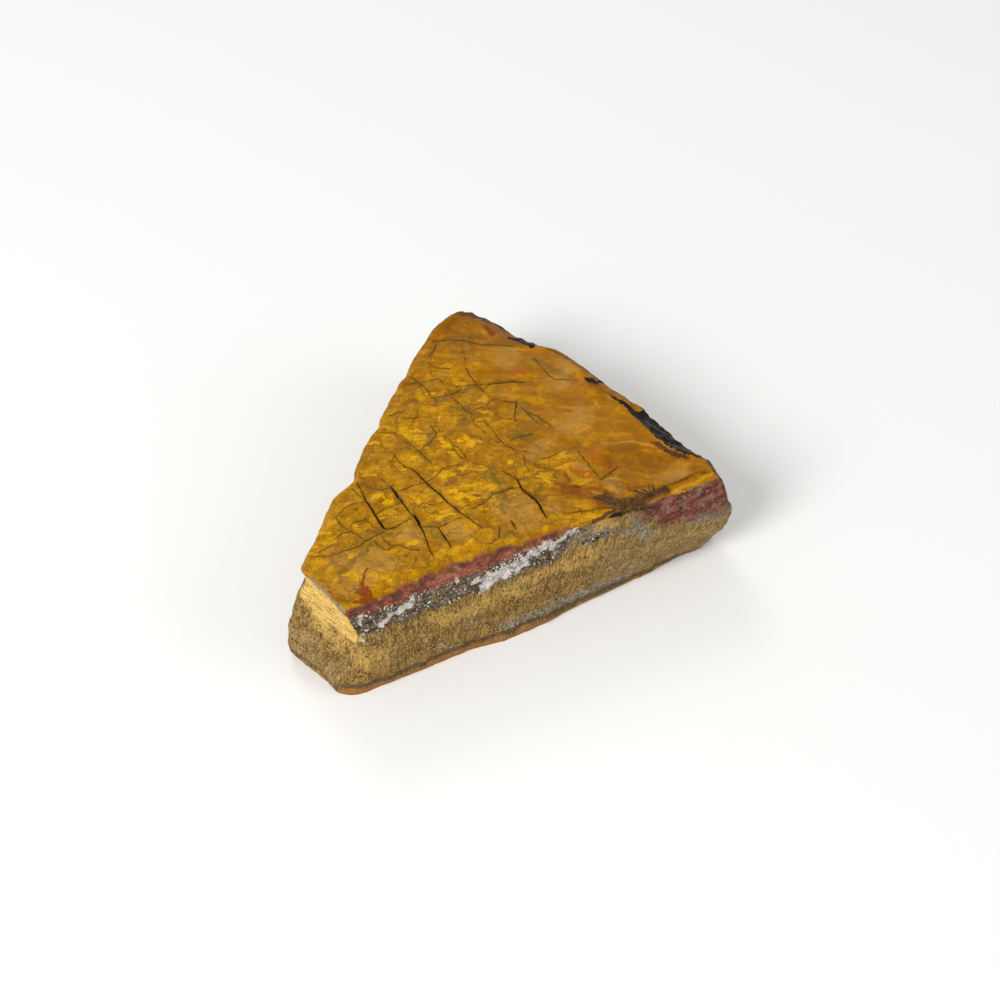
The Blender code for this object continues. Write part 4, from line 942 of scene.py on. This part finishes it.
def topFinish(tree, place, marks, noises):
    # golden plates with straight edges, with painted light: some plates painted a little lighter, plates and
    # chips painted lighter towards their raised side and in painted shade towards their low side, and painted
    # silky glints
    broad, middle, small, tiny = (noises[name] for name in ("broad", "middle", "small", "tiny"))
    bent = addNode(tree, "ShaderNodeTexNoise",
                   {"Vector": place, "Scale": 1.0 / finish["bendSize"], "Detail": 3.0}).outputs["Color"]
    wandering = addNode(tree, "ShaderNodeVectorMath", {0: bent, 1: (finish["bend"],) * 3, 2: place},
                        operation="MULTIPLY_ADD").outputs[0]
    spaces = {}
    for name, (turn, length, width) in finish["grain"].items():
        settings = {"Vector": wandering, "Rotation": (0.0, 0.0, math.radians(turn)),
                    "Scale": (length, width, 1.0)}
        spaces[name] = addNode(tree, "ShaderNodeMapping", settings, vector_type="TEXTURE").outputs[0]
    plateWarm, paintedPlateLight, plateTurn, plateSlope = facets(tree, spaces["plates"], finish["plateSize"])
    _, chipDark, paintedGlintTone, chipSlope = facets(tree, spaces["chips"], finish["chipSize"])
    net = addNode(tree, "ShaderNodeTexVoronoi", {"Vector": wandering, "Scale": finish["netPerMm"]},
                  feature="DISTANCE_TO_EDGE").outputs["Distance"]
    # the left of the face is hackly, the right smooth
    hackly = addNode(tree, "ShaderNodeMapRange", {"Value": marks["warm"], "From Min": 0.55, "From Max": 0.85,
                                                  "To Min": 0.32, "To Max": 0.1}).outputs["Result"]
    # weights of the painted facet light and painted facet shade, of the painted glints and of the joint lines
    brighter, darker, sharper, deeper = (blend(tree, (hackly, share)) for share in (1.8, 1.5, 2.4, 1.9))
    # thin ripples and splinters, along one way on some plates and along another on the rest
    ripples = addNode(tree, "ShaderNodeMix", {0: mask(tree, plateTurn, 0.45, 0.55),
                                              2: pattern(tree, spaces["ripples"], 1.0),
                                              3: pattern(tree, spaces["crossRipples"], 1.0)}).outputs[0]
    paintedSheen = pattern(tree, spaces["paintedSheen"], 1.0, detail=4.0)     # broad soft bands of painted silky sheen
    halo, onJoint = marks["crackHalo"], marks["crackDark"]
    tanEdges, orangeEdges, rustEdges, dropEdges = (blend(tree, *parts) for parts in (
        ((broad, 0.4), (middle, 0.6)), ((middle, 0.7), (chipDark, 0.3)),
        ((ripples, 0.5), (chipDark, 0.2), (small, 0.3)), ((small, 0.6), (ripples, 0.4))))
    golden = toned(tree, ((broad, 0.5), (middle, 0.5)), (0.36, 0.5, 0.64),
                   [finish[name] for name in ("goldDark", "gold", "goldLight")])
    colour = layered(tree, golden, [
        (blend(tree, (marks["warm"], 0.75)), finish["goldWarm"]),
        (mask(tree, plateWarm, 0.45, 0.9, 0.4), finish["goldWarm"]),
        # painted light and shade on the plates: some lighter at random, each lighter towards its raised side
        # and darker towards its low side
        (mask(tree, paintedPlateLight, 0.5, 0.9, hackly), finish["goldLight"]),
        (mask(tree, plateSlope, 0.05, 0.6, brighter), finish["goldLight"]),
        (mask(tree, plateSlope, -0.05, -0.6, darker), finish["goldDark"]),
        # painted sheen: broad bands of silk painted lighter, with painted shade between them
        (mask(tree, paintedSheen, 0.54, 0.66, 0.35), finish["goldLight"]),
        (mask(tree, paintedSheen, 0.46, 0.36, 0.35), finish["goldShade"]),
        # painted light and shade on the chips, following their tilt
        (mask(tree, chipSlope, 0.02, 0.2, hackly), finish["goldLight"]),
        (mask(tree, chipSlope, -0.02, -0.2, hackly), finish["goldDark"]),
        (mask(tree, small, 0.52, 0.7, hackly), finish["goldDark"]),
        (area(tree, marks["tan"], tanEdges, 1.2, 0.35, 0.65), finish["tan"]),
        (area(tree, marks["orange"], orangeEdges, 0.8, 0.3, 0.8), finish["orange"]),
        # painted glints of silky reflection, scattered flake by flake
        (scattered(tree, marks["paintedGlint"], paintedGlintTone, sharper), finish["paintedGlint"]),
        (scattered(tree, marks["smudge"], chipDark, 0.45), finish["smudge"]),
        (area(tree, marks["smudge"], small, 0.9, 0.3, 0.35), finish["smudge"]),
        # painted shade, with some darker patches of the stone itself
        (area(tree, marks["shade"], middle, 0.5, 0.3, 0.55), finish["goldShade"]),
        # painted highlights along the ridges and the ripple crests, with painted shade in the ripple troughs
        (area(tree, marks["paintedRidgeLight"], small, 0.7, 0.35, 0.55), finish["paintedRidgeLight"]),
        (mask(tree, ripples, 0.6, 0.7, hackly), finish["paintedRidgeLight"]),
        (mask(tree, ripples, 0.4, 0.3, hackly), finish["goldShade"]),
        (mask(tree, net, 0.05, 0.0, mask(tree, middle, 0.44, 0.58, deeper)), finish["jointDark"]),
        (area(tree, marks["rust"], rustEdges, 1.6, 0.3, 0.8), finish["rust"]),
        (area(tree, marks["redDrop"], dropEdges, 1.0, 0.2, 0.85), finish["redDrop"]),
        # dark rind: dark skin of the stone, with painted shade along the edge
        (area(tree, marks["rindAndEdgeShade"], small, 0.6, 0.3, 0.75), finish["purple"][1]),
        (blend(tree, (halo, 0.4)), finish["halo"]),
        (mask(tree, halo, 0.94, 1.0, 0.12), finish["lip"]),
        (mask(tree, middle, 0.34, 0.54, blend(tree, (onJoint, 0.85))), finish["jointDark"]),
        # darker deeper in a crack: painted shade over its dark film
        (marks["crackDepthShade"], finish["crack"]),
    ])
    rougher = blend(tree, (chipSlope, 1.2), (small, 0.5), (ripples, 0.4))
    height = blend(tree, (plateSlope, 0.25), (rougher, hackly), (tiny, 0.025))
    return colour, height, ripples


def wallFinish(tree, marks, noises, rockMask):
    # fibres seen side on and finely splintered, with the host rock
    broad, middle, small, grainy, lumpy, strands, bundles, pits = (noises[name] for name in (
        "broad", "middle", "small", "grainy", "lumpy", "strands", "bundles", "pits"))
    tones = (0.435, 0.5, 0.565)
    tone = ((strands, 0.38), (bundles, 0.16), (pits, 0.2), (grainy, 0.14), (middle, 0.08),
            (noises["layers"], 0.04))
    fibres = toned(tree, tone, tones, [finish[name] for name in ("fibreDark", "fibre", "fibreLight")])
    goldFibres = toned(tree, tone, tones, [finish[name] for name in ("fibreDark", "fibreLight", "fibreGold")])
    oliveFibres = toned(tree, tone, tones, finish["olive"])
    endColour = toned(tree, ((noises["scratches"], 0.6), (pits, 0.4)), (0.4, 0.5, 0.6), finish["endFace"])
    greyColour = toned(tree, ((grainy, 0.5), (small, 0.5)), (0.4, 0.5, 0.6), finish["grey"])
    rock = toned(tree, ((grainy, 0.6), (lumpy, 0.4)), (0.38, 0.47, 0.55, 0.63), finish["rock"])
    rock = layered(tree, rock, [(mask(tree, noises["rockPatches"], 0.56, 0.66, 0.7), finish["fibre"])])
    brightEdges, oliveEdges, endEdges, greyEdges, seamEdges = (blend(tree, *parts) for parts in (
        ((middle, 0.6), (bundles, 0.4)), ((broad, 0.5), (bundles, 0.5)), ((middle, 0.5), (bundles, 0.5)),
        ((middle, 0.5), (grainy, 0.5)), ((small, 0.5), (grainy, 0.5))))
    colour = layered(tree, fibres, [
        (mask(tree, noises["olivePatches"], 0.48, 0.64, 0.6), oliveFibres),
        (area(tree, marks["bright"], brightEdges, 1.4, 0.4, 0.85), goldFibres),
        (area(tree, marks["olive"], oliveEdges, 1.6, 0.5), oliveFibres),
        (area(tree, marks["endFace"], endEdges, 1.3, 0.3), endColour),
        (area(tree, marks["grey"], greyEdges, 1.4, 0.4, 0.85), greyColour),
        (area(tree, marks["skin"], middle, 0.8, 0.25, 0.85), finish["skin"]),
        (area(tree, marks["seam"], seamEdges, 1.4, 0.45, 0.85), finish["seam"]),
        (rockMask, rock),
    ])
    return colour, blend(tree, (strands, 0.14), (pits, 0.16), (grainy, 0.16), (bundles, 0.2))


def bandFinish(tree, base, marks, noises, ragged, rockMask, quartzMask, ripples):
    # the red, purple and black bands and the white grains, which cross the edge of the top face
    middle, small, grainy, lumpy = (noises[name] for name in ("middle", "small", "grainy", "lumpy"))
    streaks = noises["streaks"]
    milky = toned(tree, ((grainy, 0.45), (lumpy, 0.55)), (0.38, 0.48, 0.6), finish["quartz"])
    sparkle = mask(tree, noises["sparkles"], 0.61, 0.68, rockMask)
    specks = mask(tree, blend(tree, (marks["specks"], 0.22), (noises["flecks"], 1.0)), 0.76, 0.8)
    jasper = toned(tree, ((grainy, 0.3), (middle, 0.4), (streaks, 0.3)), (0.42, 0.5, 0.58), finish["jasper"])
    jasper = layered(tree, jasper, [
        (mask(tree, lumpy, 0.51, 0.62, 0.65), finish["grey"][1]),
        (mask(tree, noises["flecks"], 0.62, 0.7, 0.7), finish["fleck"]),
    ])
    rusty = toned(tree, ((grainy, 0.3), (middle, 0.35), (streaks, 0.35)), (0.43, 0.5, 0.58), finish["rusty"])
    rusty = layered(tree, rusty, [
        (mask(tree, lumpy, 0.5, 0.6, 0.6), finish["rock"][1]),
        (mask(tree, noises["rustPatches"], 0.58, 0.66, 0.45), finish["orange"]),
    ])
    purple = toned(tree, ((small, 0.6), (grainy, 0.4)), (0.4, 0.5, 0.62), finish["purple"])
    purpleEdges = blend(tree, (small, 0.4), (ripples, 0.3), (grainy, 0.3))
    black = toned(tree, ((small, 1.0),), (0.45, 0.65), finish["black"])
    return layered(tree, base, [
        (area(tree, marks["lip"], small, 0.4, 0.15, 0.9), finish["lip"]),
        (area(tree, marks["rusty"], ragged, 2.2, 0.3, 0.45), finish["rustEdge"]),
        (area(tree, marks["rusty"], ragged, 1.2, 0.2), rusty),
        (quartzMask, milky),
        (sparkle, finish["quartz"][2]),
        (specks, finish["quartz"][1]),
        (area(tree, marks["jasper"], ragged, 2.0, 0.3), jasper),
        (area(tree, marks["purple"], purpleEdges, 1.6, 0.25, 0.92), purple),
        (area(tree, marks["black"], small, 0.7, 0.1), black),
        (marks["onFoot"], toned(tree, ((middle, 1.0),), (0.35, 0.5, 0.65), finish["foot"])),
    ])


def tigersEyeMaterial():
    material = bpy.data.materials.new("tigers eye, broken and unpolished")
    material.use_nodes = True
    tree = material.node_tree
    shader = tree.nodes["Principled BSDF"]
    shader.inputs["IOR"].default_value = 1.54
    shader.inputs["Specular IOR Level"].default_value = finish["specular"]
    shader.inputs["Specular Tint"].default_value = hexToLinear(finish["sheen"])

    place = addNode(tree, "ShaderNodeTexCoord").outputs["Object"]
    inMm = addNode(tree, "ShaderNodeVectorMath", {0: place, 1: (1.0 / mm,) * 3},
                   operation="MULTIPLY").outputs[0]
    fibrePlace = addNode(tree, "ShaderNodeAttribute", attribute_name="fibrePlace").outputs["Vector"]
    noises = {name: pattern(tree, inMm, *row) for name, row in finish["noise"].items()}
    noises.update({name: pattern(tree, fibrePlace, *row) for name, row in finish["fibreNoise"].items()})
    marks = {}
    for name in [*topAreas, *wallAreas, "warm", "crackDark", "crackDepthShade", "crackHalo", "onTop", "onFoot"]:
        if name != "sliver" and name not in marks:      # the sliver only keeps the black border away
            marks[name] = addNode(tree, "ShaderNodeAttribute", attribute_name=name).outputs["Fac"]

    middle, small, grainy, lumpy = (noises[name] for name in ("middle", "small", "grainy", "lumpy"))
    ragged = blend(tree, (middle, 0.5), (small, 0.3), (grainy, 0.2))
    rockMask = area(tree, marks["rock"], ragged, 1.1, 0.08)
    quartzMask = area(tree, marks["quartz"], blend(tree, (grainy, 0.45), (lumpy, 0.55)), 2.6, 0.16)
    topColour, topHeight, ripples = topFinish(tree, inMm, marks, noises)
    wallColour, wallHeight = wallFinish(tree, marks, noises, rockMask)
    both = layered(tree, wallColour, [(marks["onTop"], topColour)])
    colour = bandFinish(tree, both, marks, noises, ragged, rockMask, quartzMask, ripples)
    tree.links.new(colour, shader.inputs["Base Color"])

    gloss = finish["wallRoughness"]
    for cover, roughness in ((marks["onTop"], finish["topRoughness"]), (rockMask, finish["rockRoughness"]),
                             (quartzMask, finish["quartzRoughness"])):
        gloss = addNode(tree, "ShaderNodeMix", {0: cover, 2: gloss, 3: roughness}).outputs[0]
    gloss = blend(tree, (gloss, 1.0), (small, 0.5), (1.0, -0.25))
    tree.links.new(gloss, shader.inputs["Roughness"])

    # relief in millimetres
    relief = addNode(tree, "ShaderNodeMix", {0: marks["onTop"], 2: wallHeight, 3: topHeight}).outputs[0]
    bump = addNode(tree, "ShaderNodeBump", {"Strength": 1.0, "Distance": mm, "Height": relief}).outputs[0]
    tree.links.new(bump, shader.inputs["Normal"])
    return material


def addStone():
    piece = buildStone()
    piece.data.materials.append(tigersEyeMaterial())
    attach(piece, "root")
    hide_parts("tigers_eye_stone")
    return piece


# Studio

studio = {
    "azimuth": -27.4, "elevation": 45.0, "distance": 0.42,      # the camera, in degrees and metres
    "target": (0.0057, -0.0096, 0.011), "pixel": 0.000198,      # metres in one pixel at the target
    "floor": "#FAFAF8",
    # lights: place, width and power
    "key": ((-0.75, -0.3, 0.6), 0.5, 7.5),
    "fill": ((0.7, -0.6, 0.5), 0.7, 2.2),
    "back": ((0.1, 0.8, 0.7), 0.4, 1.8),
    "world": ("#FFFFFF", 0.44),
}


def addCamera():
    angle, rise = math.radians(studio["azimuth"]), math.radians(studio["elevation"])
    back = Vector((math.sin(angle) * math.cos(rise), -math.cos(angle) * math.cos(rise), math.sin(rise)))
    data = bpy.data.cameras.new("camera")
    data.sensor_width = 36.0
    data.lens = 36.0 * studio["distance"] / studio["pixel"] / 1000.0     # the image is 1000 pixels wide
    data.clip_start, data.clip_end = 0.01, 20.0
    camera = bpy.data.objects.new("camera", data)
    bpy.context.scene.collection.objects.link(camera)
    camera.location = Vector(studio["target"]) + back * studio["distance"]
    camera.rotation_euler = back.to_track_quat("Z", "Y").to_euler()
    bpy.context.scene.camera = camera


def addLights():
    for name in ("key", "fill", "back"):
        location, size, power = studio[name]
        data = bpy.data.lights.new(name, "AREA")
        data.shape = "DISK"
        data.size = size
        data.energy = power
        light = bpy.data.objects.new(name, data)
        light.location = location
        light.rotation_euler = Vector(location).to_track_quat("Z", "Y").to_euler()
        bpy.context.scene.collection.objects.link(light)
    world = bpy.data.worlds.new("studio")
    world.use_nodes = True
    sky = world.node_tree.nodes["Background"]
    sky.inputs["Color"].default_value = hexToLinear(studio["world"][0])
    sky.inputs["Strength"].default_value = studio["world"][1]
    bpy.context.scene.world = world
    bpy.context.scene.view_settings.view_transform = "Standard"


def addFloor():
    bpy.ops.mesh.primitive_plane_add(size=6.0)
    floor = bpy.context.object
    floor.name = "floor"
    material = bpy.data.materials.new("paper sweep")
    material.use_nodes = True
    shader = material.node_tree.nodes["Principled BSDF"]
    shader.inputs["Base Color"].default_value = hexToLinear(studio["floor"])
    shader.inputs["Roughness"].default_value = 0.9
    floor.data.materials.append(material)


addStone()
print("stone finished")
addCamera()
addLights()
addFloor()
print("studio set")
